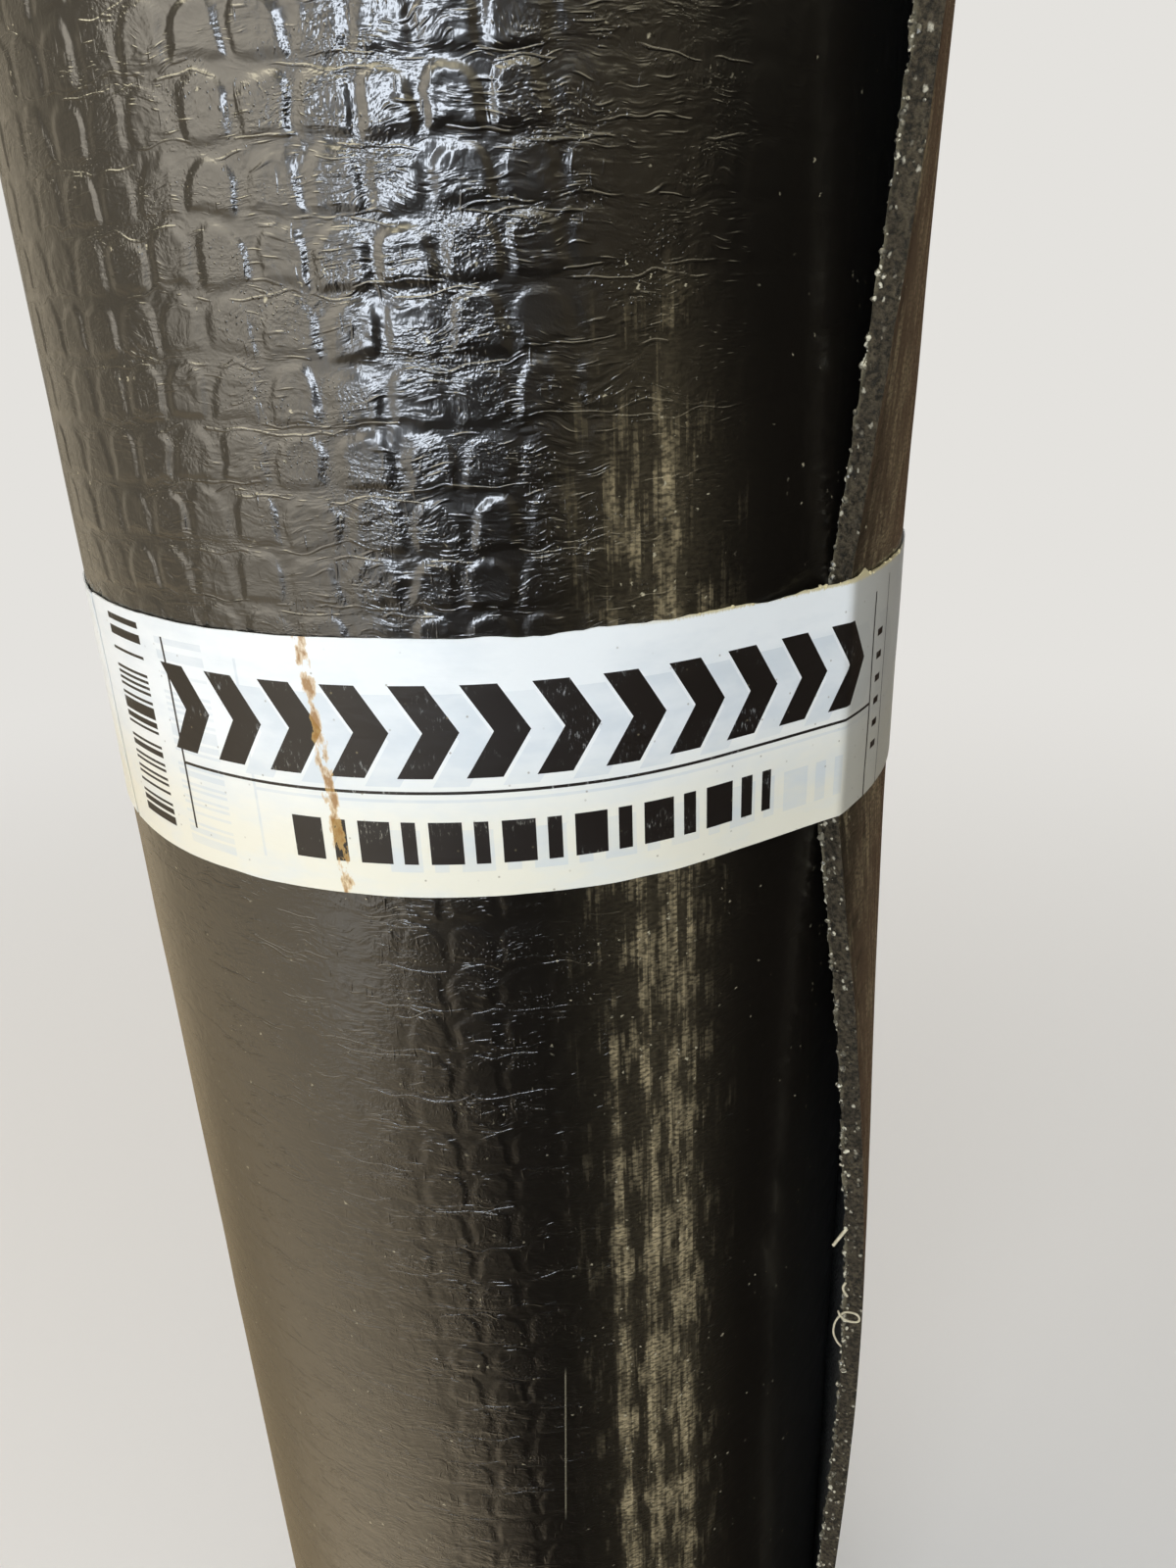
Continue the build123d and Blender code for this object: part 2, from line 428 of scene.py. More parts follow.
def film_material(winding, emboss):
    """Burn-off polyethylene film melted onto embossed bitumen.

    It gives the eye a near-black skin with a soft sheen under a sharp gloss that shows every crease:
    short level creases where it shrank, pin-head bumps of sand below it, dull tan dust rubbed on
    in upright streaks, and beside the sheet's end tan streaks that are partly dust and partly a
    painted reflection. Creases and grains are drawn 0.3 mm wide or more so that they show.
    """
    material, add = new_material("torch_film_on_bitumen")
    sheet = add("ShaderNodeUVMap", uv_map="sheet")
    place = add(VECTOR, sheet, TO_MM, winding.origin, operation="MULTIPLY_ADD")
    split = add(SPLIT, place)
    along, level = split.outputs["X"], split.outputs["Y"]
    emboss_share, carved_share, crease_share = (
        add("ShaderNodeAttribute", attribute_name=name).outputs["Fac"] for name in SHARES)

    sizes = (emboss.cobble_width, emboss.cobble_height, emboss.groove)
    cobbles, in_row, slow = cobble_nodes(add, place, *(size / MM for size in sizes))
    bumped = add(MATH, 1.0, carved_share, operation="SUBTRACT")
    bumped = add(MATH, bumped, emboss_share, operation="MULTIPLY")
    bumped = add(MATH, bumped, emboss.depth / MM, operation="MULTIPLY")
    relief = add(MATH, cobbles, bumped, operation="MULTIPLY")

    # Where creases, dashes and sand lie, as three patchy noises in one, and a bend for the strokes
    patches = pattern(add, NOISE, place, (17, 9), (1, 6, 0), detail=2.0)
    patches = add(CHANNELS, patches.outputs["Color"])
    creased = add(RANGE, patches.outputs[0], 0.36, 0.56)
    dashed = add(RANGE, patches.outputs[1], 0.44, 0.60)
    sandy = add(RANGE, patches.outputs[2], 0.44, 0.62)
    wander = pattern(add, NOISE, place, (11, 8), (4, 2, 0), detail=1.0).outputs["Color"]
    bent = add(VECTOR, wander, (2.0, 5.0, 0), place, operation="MULTIPLY_ADD")
    wander = add(CHANNELS, wander)

    # Strokes are stretched cells: width and height of a cell, share of it that the stroke fills,
    # how rare it is, its height in millimetres, the patches that it keeps to and its own shift
    strokes = (
        (13, 1.3, 0.24, 0.35, 0.090, creased, (0, 0, 0)),
        (5.5, 0.9, 0.26, 0.20, 0.070, dashed, (5, 3, 0)),
        (1.6, 10, 0.20, 0.60, 0.060, creased, (2, 8, 0)),
        (1.15, 1.15, 0.22, 0.35, 0.085, sandy, (7, 7, 0)),
    )
    for wide, tall, share, rare, rise, patch, shift in strokes:
        stroke = pattern(add, CELLS, bent, (wide, tall), shift)
        chance = add(CHANNELS, stroke.outputs["Color"])
        size = add(RANGE, chance, 0.0, 1.0, 0.4 * share, share)
        line = add(RANGE, stroke, 0.0, size, 1.0, 0.0, interpolation_type="SMOOTHSTEP")
        shown = add(RANGE, chance, rare, rare + 0.1, 0.0, rise)
        for part in (patch, crease_share):
            shown = add(MATH, shown, part, operation="MULTIPLY")
        relief = add(MATH, line, shown, relief, operation="MULTIPLY_ADD")

    # Long folds where the film spans the groove below a row, and just above the next. Each has its
    # place in the row, how far it wanders, its patches and how rare it is in them
    for middle, wiggle, patch, rare in ((-4.3, 2.6, 0, 0.52), (4.2, -3.4, 2, 0.49)):
        fold = add(MATH, wander.outputs[1], wiggle, in_row, operation="MULTIPLY_ADD")
        fold = add(MATH, fold, -middle - wiggle / 2, operation="ADD")
        fold = add(MATH, fold, operation="ABSOLUTE")
        fold = add(RANGE, fold, 0.05, 0.3, 0.09, 0.0, interpolation_type="SMOOTHSTEP")
        shown = add(RANGE, patches.outputs[patch], rare, rare + 0.04)
        shown = add(MATH, shown, crease_share, operation="MULTIPLY")
        relief = add(MATH, fold, shown, relief, operation="MULTIPLY_ADD")

    # Level ripples, dents and stipple: width, height, rise and patches
    ripples = (
        (4.5, 0.8, 0.12, dashed),
        (2.6, 1.9, 0.15, creased),
        (0.7, 0.6, 0.08, sandy),
    )
    for wide, tall, rise, patch in ripples:
        ripple = pattern(add, NOISE, bent, (wide, tall), (6, 4, 0), detail=1.0)
        shown = add(RANGE, patch, 0.0, 1.0, 0.35 * rise, rise)
        shown = add(MATH, shown, crease_share, operation="MULTIPLY")
        relief = add(MATH, ripple, shown, relief, operation="MULTIPLY_ADD")

    # Dust in three upright bands below the printed one and one above it, on a faint veil, and near the
    # sheet's end tan streaks that are partly dust and partly painted reflection. Each has its middle,
    # width, strength and zone up and down
    above = add(RANGE, level, 85.0, 45.0)
    below = add(RANGE, level, 60.0, -130.0)
    low = add(RANGE, level, -30.0, -130.0)
    # Zone of the streaks beside the sheet's end, which are partly dust and partly painted reflection
    end_dust_and_sheen_zone = add(RANGE, add(MATH, level, operation="ABSOLUTE"), 130.0, 280.0, 1.0, 0.5)
    dust_and_sheen_bands = None
    bands = (
        (22, 2.4, 0.95, low),
        (29.5, 2.6, 1.10, below),
        (38.5, 3.2, 0.95, below),
        (31, 15, 0.35, below),
        (35.5, 4.0, 0.80, above),
        (32, 14, 0.40, above),
        # Beside the sheet's end: partly dust, partly a painted reflection
        (18 - winding.front / MM, 18, 0.75, end_dust_and_sheen_zone),
    )
    for middle, width, strength, zone in bands:
        bell = add(RANGE, along, middle - width, middle + width, -1.0, 1.0, clamp=False)
        bell = add(MATH, bell, bell, operation="MULTIPLY")
        bell = add(MATH, add(MATH, bell, -1.0, operation="MULTIPLY"), operation="EXPONENT")
        for part in (strength, zone):
            bell = add(MATH, bell, part, operation="MULTIPLY")
        dust_and_sheen_bands = add(MATH, dust_and_sheen_bands, bell, operation="MAXIMUM") if dust_and_sheen_bands else bell
    speckle = pattern(add, NOISE, place, (1.5, 0.7), (2, 5, 0), detail=2.0)

    # The dust was wiped on in upright strokes with straight sides and ragged ends, and the painted
    # reflection beside the sheet's end is drawn in the same strokes: each stroke is one column of a
    # noise, snapped to the stroke's width
    ragged = add(VECTOR, speckle.outputs["Color"], (0.4, 1.6, 0), place, operation="MULTIPLY_ADD")
    dust_and_sheen = add(MATH, patches.outputs[0], 1.1, dust_and_sheen_bands, operation="MULTIPLY_ADD")
    wipes = ((2.3, 18, 2.2, 2.0), (0.9, 11, 1.5, 1.0), (0.35, 14, 0.9, 1.0))
    for wide, tall, swing, detail in wipes:
        column = add(VECTOR, ragged, (wide, 0.01, 1), operation="SNAP")
        streak = pattern(add, NOISE, column, (wide / 0.7, tall), (wide, 2, 0), detail=detail)
        dust_and_sheen = add(MATH, streak, swing, dust_and_sheen, operation="MULTIPLY_ADD")
    bare, covered = 3.1, 4.6
    dust_and_sheen = add(RANGE, dust_and_sheen, bare, covered)
    broken = add(RANGE, speckle, 0.36, 0.6, 0.3, 1.0)
    for part in (broken, add(RANGE, dust_and_sheen_bands, 0.02, 0.3)):
        dust_and_sheen = add(MATH, dust_and_sheen, part, operation="MULTIPLY")
    veil = add(MATH, add(RANGE, dust_and_sheen_bands, 0.0, 0.5, 0.0, 0.16), speckle, operation="MULTIPLY")
    dust_and_sheen = add(MATH, dust_and_sheen, veil, operation="MAXIMUM")

    # Motes of dust, most of them where the dust lies, a few larger than the rest
    flecked = add(VECTOR, speckle.outputs["Color"], (1.2, 1.2, 0), place, operation="MULTIPLY_ADD")
    motes = pattern(add, CELLS, flecked, (2.2, 2.2), (4, 4, 0))
    chance = add(CHANNELS, motes.outputs["Color"])
    size = add(RANGE, chance.outputs[1], 0.0, 1.0, 0.03, 0.2)
    mote = add(RANGE, motes, 0.0, size, 1.6, 0.0)
    rare = add(MATH, dust_and_sheen_bands, 0.25, chance, operation="MULTIPLY_ADD")
    rare = add(MATH, patches.outputs[2], 0.7, rare, operation="MULTIPLY_ADD")
    mote = add(MATH, mote, add(RANGE, rare, 1.29, 1.42), operation="MULTIPLY", use_clamp=True)

    colour = add(MIX, add(CHANNELS, slow), linear("#090807"), linear("#100d0a"), data_type="RGBA")

    # One upright scratch below the band, left of the dust, that leans a little
    lean, at_band = 0.044, 13.65
    scratch = add(MATH, level, -lean, along, operation="MULTIPLY_ADD")
    scratch = add(MATH, scratch, at_band, operation="SUBTRACT")
    scratch = add(MATH, scratch, operation="ABSOLUTE")
    scratch = add(RANGE, scratch, 0.08, 0.28, 0.55, 0.0)
    for start, stop in ((-150, -153), (-203, -198)):
        ending = add(RANGE, level, start, stop)
        scratch = add(MATH, scratch, ending, operation="MULTIPLY")
    # The tan of the dust also paints the reflection beside the sheet's end
    for share, tone in ((dust_and_sheen, "#a59674"), (mote, "#a59d84"), (scratch, "#8f8770")):
        colour = add(MIX, share, colour, linear(tone), data_type="RGBA")

    # Dust, and the painted reflection beside the sheet's end, take the gloss away, and the film is
    # duller beside the cut
    gloss = add(RANGE, dust_and_sheen, 0.0, 0.6, 1.0, 0.15)
    dull = add(RANGE, along, 44.0, 55.0, 1.0, 0.25)
    gloss = add(MATH, gloss, dull, operation="MULTIPLY")
    bump = add("ShaderNodeBump", height=relief, distance=MM, strength=1.0)
    shader = add("ShaderNodeBsdfPrincipled", base_color=colour, roughness=0.3, ior=1.5, normal=bump,
                 coat_weight=gloss, coat_roughness=0.12, coat_normal=bump)
    add("ShaderNodeOutputMaterial", shader)
    return material


def cut_edge_material():
    """Knife-cut filled bitumen: a dull dark grey crumb, with pale bits of stone in it."""
    material, add = new_material("knife_cut_bitumen")
    place = add("ShaderNodeTexCoord").outputs["Object"]
    crumb = pattern(add, NOISE, place, (MM, MM, MM), detail=4.0, roughness=0.65)
    slow = pattern(add, NOISE, place, (5 * MM, 5 * MM, 8 * MM), detail=3.0)

    # Bits of stone, their outlines broken by the crumb, and few of them bright
    scaled = add(VECTOR, place, per(1.3 * MM, 1.3 * MM, 1.7 * MM), operation="MULTIPLY")
    scaled = add(VECTOR, crumb.outputs["Color"], (0.9, 0.9, 0.9), scaled, operation="MULTIPLY_ADD")
    stones = add(CELLS, scaled, scale=1.0)
    chance = add(CHANNELS, stones.outputs["Color"])
    size = add(RANGE, chance.outputs[0], 0.0, 1.0, 0.1, 0.5)
    stone = add(RANGE, stones, 0.0, size, 1.8, 0.0)
    stone = add(MATH, stone, add(RANGE, chance.outputs[1], 0.62, 0.9), operation="MULTIPLY",
                use_clamp=True)

    # The crumb is lighter on its bumps and browner towards the mineral side
    crumbled = add(RANGE, crumb, 0.40, 0.62)
    shade = add(RANGE, slow, 0.35, 0.7, 0.0, 0.5)
    mineral = add("ShaderNodeAttribute", attribute_name="grain_share").outputs["Fac"]
    mineral = add(RANGE, mineral, 0.25, 0.8, 0.0, 0.8)
    colour = linear("#0e0d0a")
    coats = ((crumbled, "#4c4538"), (shade, "#1b1814"), (mineral, "#6c6654"), (stone, "#b8b29f"))
    for share, tone in coats:
        colour = add(MIX, share, colour, linear(tone), data_type="RGBA")
    relief = add(MATH, crumb, 0.6, operation="MULTIPLY")
    relief = add(MATH, stone, 0.15, relief, operation="MULTIPLY_ADD")
    bump = add("ShaderNodeBump", height=relief, distance=MM, strength=1.0)
    shader = add("ShaderNodeBsdfPrincipled", base_color=colour, roughness=0.7, ior=1.45,
                 normal=bump, specular_ior_level=0.3)
    add("ShaderNodeOutputMaterial", shader)
    return material


def mineral_material():
    """Slate granules pressed into bitumen: a matt dark grey grit with each grain its own tone."""
    material, add = new_material("slate_granules")
    place = add("ShaderNodeTexCoord").outputs["Object"]
    grains = pattern(add, CELLS, place, (1.1 * MM,) * 3)
    chance = add(CHANNELS, grains.outputs["Color"])
    colour = add(MIX, chance, linear("#1d1f20"), linear("#4e5052"), data_type="RGBA")
    relief = add(RANGE, grains, 0.1, 0.8, 0.45, 0.0)
    bump = add("ShaderNodeBump", height=relief, distance=MM, strength=1.0)
    shader = add("ShaderNodeBsdfPrincipled", base_color=colour, roughness=0.8, ior=1.5, normal=bump)
    add("ShaderNodeOutputMaterial", shader)
    return material


def sheet_materials(winding, emboss):
    """The materials of the sheet's film face, its cut edges and its mineral face."""
    return {
        "film": material_named("torch_film_on_bitumen", film_material, winding, emboss),
        "cut": material_named("knife_cut_bitumen", cut_edge_material),
        "mineral": material_named("slate_granules", mineral_material),
    }


def loose_grain_material():
    """Crushed slate and quartz, unglazed: dark to greenish grey facets, a few of them white."""
    material, add = new_material("loose_stone_grains")
    place = add("ShaderNodeTexCoord").outputs["Object"]
    tones = pattern(add, NOISE, place, (1.5 * MM,) * 3, detail=1.0)
    tones = add(CHANNELS, tones.outputs["Color"])
    pale = add(RANGE, tones.outputs[0], 0.35, 0.65)
    white = add(RANGE, tones.outputs[1], 0.54, 0.61)
    colour = linear("#33312c")
    for share, tone in ((pale, "#777262"), (white, "#ccc6b0")):
        colour = add(MIX, share, colour, linear(tone), data_type="RGBA")
    shader = add("ShaderNodeBsdfPrincipled", base_color=colour, roughness=0.28, ior=1.5)
    add("ShaderNodeOutputMaterial", shader)
    return material


def cream_material(name, low, high, size):
    """Polyester carrier threads, or dried adhesive: dull cream, a little uneven."""
    material, add = new_material(name)
    place = add("ShaderNodeTexCoord").outputs["Object"]
    tone = pattern(add, NOISE, place, (size, size, size), detail=2.0)
    colour = add(MIX, tone, linear(low), linear(high), data_type="RGBA")
    shader = add("ShaderNodeBsdfPrincipled", base_color=colour, roughness=0.65, ior=1.5)
    add("ShaderNodeOutputMaterial", shader)
    return material


def print_group():
    """The generic print on the tape, from a place in millimetres on it: 1 where there is ink."""
    tree = bpy.data.node_groups.new("tape_print", "ShaderNodeTree")
    tree.interface.new_socket("Place", in_out="INPUT", socket_type="NodeSocketVector")
    tree.interface.new_socket("Ink", in_out="OUTPUT", socket_type="NodeSocketFloat")
    add = partial(add_node, tree)
    split = add(SPLIT, add("NodeGroupInput").outputs[0])
    along, level = split.outputs["X"], split.outputs["Y"]

    def between(value, low, high):
        """1 where a value lies between two others."""
        above = add(MATH, value, float(low), operation="GREATER_THAN")
        below = add(MATH, value, float(high), operation="LESS_THAN")
        return add(MATH, above, below, operation="MULTIPLY")

    def repeating(value, start, pitch):
        """How far a value is through its own repeat, from 0 to 1."""
        moved = add(MATH, value, 1 / pitch, -start / pitch, operation="MULTIPLY_ADD")
        return add(MATH, moved, operation="FRACT")

    # The rules, and the places where a pattern is printed: left, right, bottom and top
    rules = (
        (-66.0, -65.4, -18, 21.5),
        (-66.0, 88, -4.1, -3.5),
        (87.4, 88.0, -25.5, 20),
        (95.6, 96.0, -25.5, 22),
    )
    fields = ((-39, 57, -18.2, -9.6), (-87, -73.5, -20, 23), (90.2, 93.2, -16, 12))
    boxes = [add(MATH, between(along, *box[:2]), between(level, *box[2:]), operation="MULTIPLY")
             for box in (*rules, *fields)]

    # Heavy arrowheads that show which way the roll unwinds, cut off square at both ends
    low, high, pitch, start = -1.0, 16.5, 12.6, -62.0
    slant, inked_share, arrows = 0.62, 0.52, 11.52
    point = add(MATH, level, (low + high) / 2, operation="SUBTRACT")
    point = add(MATH, point, operation="ABSOLUTE")
    lean = add(MATH, point, slant, along, operation="MULTIPLY_ADD")
    ink = add(MATH, repeating(lean, start, pitch), inked_share, operation="LESS_THAN")
    for part in (between(level, low, high), between(lean, start, start + arrows * pitch)):
        ink = add(MATH, ink, part, operation="MULTIPLY")

    # A row of plain blocks, bars of uneven width that encode nothing, and a column of ticks
    block_pitch, thinnest_bar, tick_pitch = 13.4, 0.62, 5.0
    step = repeating(along, fields[0][0], block_pitch)
    blocks = add(MATH, add(MATH, step, 0.46, operation="LESS_THAN"), between(step, 0.62, 0.82),
                 operation="MAXIMUM")
    slot = add(MATH, add(MATH, level, thinnest_bar, operation="DIVIDE"), operation="FLOOR")
    bars = add(MATH, add(CHANCE, slot, noise_dimensions="1D"), 0.52, operation="GREATER_THAN")
    ticks = add(MATH, repeating(level, 0.0, tick_pitch), 0.3, operation="LESS_THAN")
    for part, field in zip((blocks, bars, ticks), boxes[len(rules):]):
        printed = add(MATH, part, field, operation="MULTIPLY")
        ink = add(MATH, ink, printed, operation="MAXIMUM")
    for rule in boxes[:len(rules)]:
        ink = add(MATH, ink, rule, operation="MAXIMUM")
    add("NodeGroupOutput", ink)
    return tree


def tape_material(band):
    """Printed polypropylene tape, satin white, calendered.

    It gives the eye a clean satin white, cool above, creamier below where a warm bounce of light is
    painted in, and greyer where painted shade lies over the sheet's end, with slightly worn black
    print, the pale print of the lap beneath showing through, and one rusty run of dirt.
    """
    material, add = new_material("printed_white_tape")
    sheet = add("ShaderNodeUVMap", uv_map="sheet")
    place = add(VECTOR, sheet, TO_MM, operation="MULTIPLY")
    split = add(SPLIT, place)
    along, level = split.outputs["X"], split.outputs["Y"]
    group = print_group()
    ink = add("ShaderNodeGroup", place, node_tree=group)
    beneath = add(VECTOR, place, (-19.0, 1.6, 0), operation="ADD")
    ghost = add("ShaderNodeGroup", beneath, node_tree=group)

    # Painted warm bounce light makes it creamy low down; it is cooler in clouds, with the print of the
    # lap beneath showing through faintly
    clouds = pattern(add, NOISE, place, (22, 9), detail=4.0, roughness=0.6)
    scuffs = add(CHANNELS, clouds.outputs["Color"]).outputs[1]
    painted_bounce = add(RANGE, level, 8.0, -18.0, 0.0, 0.85, interpolation_type="SMOOTHSTEP")
    cool = add(RANGE, clouds, 0.45, 0.75, 0.0, 0.5)
    faint = add(RANGE, clouds, 0.3, 0.6, 0.22, 0.5)
    faint = add(MATH, faint, ghost, operation="MULTIPLY")

    # Painted shade where the tape spans the step of the sheet's end with nothing behind it, and on
    # past the step where the tape turns from the light, fading out
    step_shade = add(RANGE, along, 74.0, 79.0, 0.0, 0.75, interpolation_type="SMOOTHSTEP")
    beyond = add(RANGE, along, 96.0, 130.0, 1.0, 0.0, interpolation_type="SMOOTHSTEP")
    step_shade = add(MATH, step_shade, beyond, operation="MULTIPLY")

    # Near the step its upper edge is torn and shows the cream of the adhesive
    wear = pattern(add, NOISE, place, (0.7, 2.2), detail=5.0, roughness=0.7)
    torn = add(MATH, wear, 1.6, level, operation="MULTIPLY_ADD")
    torn = add(RANGE, torn, 24.85, 25.25, 0.0, 0.9)
    for start, stop in ((24, 40), (118, 100)):
        torn = add(MATH, torn, add(RANGE, along, start, stop), operation="MULTIPLY")

    # The print is worn away in specks
    worn = add(RANGE, wear, 0.58, 0.72)
    worn = add(MATH, worn, add(RANGE, scuffs, 0.5, 0.62, 0.0, 0.35), operation="MULTIPLY")
    inked = add(MATH, ink, add(MATH, 1.0, worn, operation="SUBTRACT"), operation="MULTIPLY")

    # Rusty dirt that ran down the tape in one narrow trail, in blots
    lean, left = 0.07, 30.6
    centre = add(MATH, level, lean, left, operation="MULTIPLY_ADD")
    drift = add(MATH, along, centre, operation="ADD")
    drift = add(MATH, drift, drift, operation="MULTIPLY")
    near = add(RANGE, drift, 0.3, 7.0, 1.0, 0.0)
    blots = pattern(add, NOISE, place, (1.6, 3.6), (9, 3, 0), detail=4.0, roughness=0.6)
    blots = add(MATH, blots, near, operation="MULTIPLY")
    stain = add(RANGE, blots, 0.40, 0.46, 0.0, 0.6)
    rust = add(RANGE, blots, 0.47, 0.62, 0.0, 0.8)

    # A few specks of dirt
    motes = pattern(add, CELLS, place, (3.4, 3.4), (2, 7, 0))
    chance = add(CHANNELS, motes.outputs["Color"])
    mote = add(RANGE, motes, 0.04, 0.08, 0.6, 0.0)
    mote = add(MATH, mote, add(RANGE, chance, 0.84, 0.95), operation="MULTIPLY")

    # What lies on the bare tape, with the painted bounce light and painted shade among it, in the
    # order in which it is laid on
    colour = tuple(band.paper)
    coats = (
        (painted_bounce, linear("#e0dbc6")),
        (cool, linear("#d0d7da")),
        (faint, linear("#c0c9cf")),
        (step_shade, linear("#a3a196")),
        (torn, linear("#c9bd92")),
        (inked, tuple(band.ink)),
        (stain, linear("#c9a566")),
        (rust, linear("#8a5f26")),
        (mote, linear("#7d735c")),
    )
    for share, tone in coats:
        colour = add(MIX, share, colour, tone, data_type="RGBA")

    ripple = pattern(add, NOISE, place, (9, 3.5), (3, 3, 0), detail=3.0)
    bump = add("ShaderNodeBump", height=ripple, distance=0.12 * MM, strength=1.0)
    shader = add("ShaderNodeBsdfPrincipled", base_color=colour, roughness=0.42, ior=1.5,
                 normal=bump)
    add("ShaderNodeOutputMaterial", shader)
    return material


def floor_material(stage):
    """Matt painted board, plain and pale, that runs into the background in the distance."""
    material, add = new_material("pale_floor")
    colour = tuple(stage.floor_colour)
    place = add("ShaderNodeTexCoord").outputs["Object"]
    distance = add(VECTOR, place, operation="LENGTH")
    far = add(RANGE, distance, 0.35, 1.6, interpolation_type="SMOOTHSTEP")
    seen = add("ShaderNodeLightPath").outputs["Is Camera Ray"]
    far = add(MATH, far, seen, operation="MULTIPLY")
    board = add("ShaderNodeBsdfPrincipled", base_color=colour, roughness=0.8)
    backdrop = add("ShaderNodeEmission", color=colour, strength=1.0)
    add("ShaderNodeOutputMaterial", add("ShaderNodeMixShader", far, board, backdrop))
    return material


def new_geometry_tree(name, **inputs):
    """An empty Geometry Nodes tree with named inputs, with what adds a node to it and its inputs."""
    tree = bpy.data.node_groups.new(name, "GeometryNodeTree")
    tree.interface.new_socket("Geometry", in_out="OUTPUT", socket_type="NodeSocketGeometry")
    for label, kind in inputs.items():
        label = label.replace("_", " ")
        tree.interface.new_socket(label, in_out="INPUT", socket_type="NodeSocket" + kind)
    add = partial(add_node, tree)
    return tree, add, add("NodeGroupInput").outputs


def realise(name, tree, base=None, **values):
    """Run a Geometry Nodes tree, on a base object or alone, and return its result as a plain mesh."""
    if base is None:
        base = add_object(name + "_carrier", bpy.data.meshes.new(name + "_carrier"))
    modifier = base.modifiers.new(name, "NODES")
    modifier.node_group = tree
    for socket in tree.interface.items_tree:
        key = socket.name.replace(" ", "_").lower()
        if socket.in_out == "INPUT" and key in values:
            modifier[socket.identifier] = values[key]
    return plain_mesh(name, base)


def embossed_tree():
    """Geometry Nodes that raise the cobbles on the film face and give each face its material.

    Places and sizes are in millimetres, as in the film's own material.
    """
    tree, add, start = new_geometry_tree(
        "embossed_sheet", Sheet="Geometry", Origin="Vector", Cobble_Width="Float",
        Cobble_Height="Float", Groove="Float", Depth="Float", Film="Material", Cut="Material",
        Mineral="Material")
    sheet = add(NAMED, "sheet", data_type="FLOAT_VECTOR")
    place = add(VECTOR, sheet, TO_MM, start["Origin"], operation="MULTIPLY_ADD")
    cobbles = cobble_nodes(add, place, start["Cobble Width"], start["Cobble Height"],
                           start["Groove"])[0]
    # The face stays where it was on average
    mean_cobble = 0.6
    lift = add(MATH, cobbles, mean_cobble, operation="SUBTRACT")
    shares = [add(NAMED, name, data_type="FLOAT") for name in SHARES[:2]]
    for part in (start["Depth"], MM, *shares):
        lift = add(MATH, lift, part, operation="MULTIPLY")
    offset = add(VECTOR, add("GeometryNodeInputNormal"), scale=lift, operation="SCALE")
    dressed = add("GeometryNodeSetPosition", start["Sheet"], offset=offset)
    surface = add(NAMED, "surface", data_type="INT")
    for kind, label in ((FILM, "Film"), (CUT, "Cut"), (MINERAL, "Mineral")):
        chosen = add("FunctionNodeCompare", surface, kind, data_type="INT", operation="EQUAL")
        dressed = add(SET_MATERIAL, dressed, selection=chosen, material=start[label])
    add("NodeGroupOutput", add("GeometryNodeRealizeInstances", dressed))
    return tree


def wound_sheet_tree():
    """Geometry Nodes that wind a sheet of rectangular section on a spiral, with uneven edges."""
    tree, add, start = new_geometry_tree(
        "wound_sheet", Inner_Radius="Float", Outer_Radius="Float", Turns="Float",
        Start_Angle="Float", Thickness="Float", Width="Float", Steps="Int", Edge_Wave="Float",
        Film="Material", Cut="Material", Mineral="Material")
    rounding, edge_reach = 0.35 * MM, 4 * MM
    spiral = add("GeometryNodeCurveSpiral", start["Steps"], start["Turns"], start["Inner Radius"],
                 start["Outer Radius"], 0.0, True)
    half = add(MATH, start["Width"], 0.5, operation="MULTIPLY")
    placed = add("GeometryNodeTransform", spiral, translation=add(JOIN, z=half),
                 rotation=add(JOIN, z=start["Start Angle"]))
    profile = add("GeometryNodeCurvePrimitiveQuadrilateral", start["Thickness"], start["Width"])
    rounded = add("GeometryNodeFilletCurve", profile, rounding)
    solid = add("GeometryNodeCurveToMesh", placed, rounded, fill_caps=True)

    # Both ends of the sheet are pulled in a little, unevenly, in waves about 18 mm long
    position = add("GeometryNodeInputPosition")
    from_middle = add(MATH, add(SPLIT, position).outputs["Z"], half, operation="SUBTRACT")
    edge = add(MATH, add(MATH, from_middle, operation="ABSOLUTE"),
               add(MATH, half, edge_reach, operation="SUBTRACT"), operation="GREATER_THAN")
    pull = add(MATH, add(NOISE, position, scale=55.0, detail=3.0), -1.0, operation="MULTIPLY")
    for part in (start["Edge Wave"], add(MATH, from_middle, operation="SIGN"), edge):
        pull = add(MATH, pull, part, operation="MULTIPLY")
    waved = add("GeometryNodeSetPosition", solid, offset=add(JOIN, z=pull))

    # Faces that look outward are film, and those that look to the bore are mineral
    flat = add(VECTOR, position, (1, 1, 0), operation="MULTIPLY")
    flat = add(VECTOR, flat, operation="NORMALIZE")
    facing = add(VECTOR, flat, add("GeometryNodeInputNormal"), operation="DOT_PRODUCT")
    dressed = add(SET_MATERIAL, waved, material=start["Cut"])
    for label, limit, test in (("Film", 0.9, "GREATER_THAN"), ("Mineral", -0.9, "LESS_THAN")):
        chosen = add(MATH, facing, limit, operation=test)
        dressed = add(SET_MATERIAL, dressed, selection=chosen, material=start[label])
    smooth = add("GeometryNodeSetShadeSmooth", dressed)
    add("NodeGroupOutput", add("GeometryNodeRealizeInstances", smooth))
    return tree


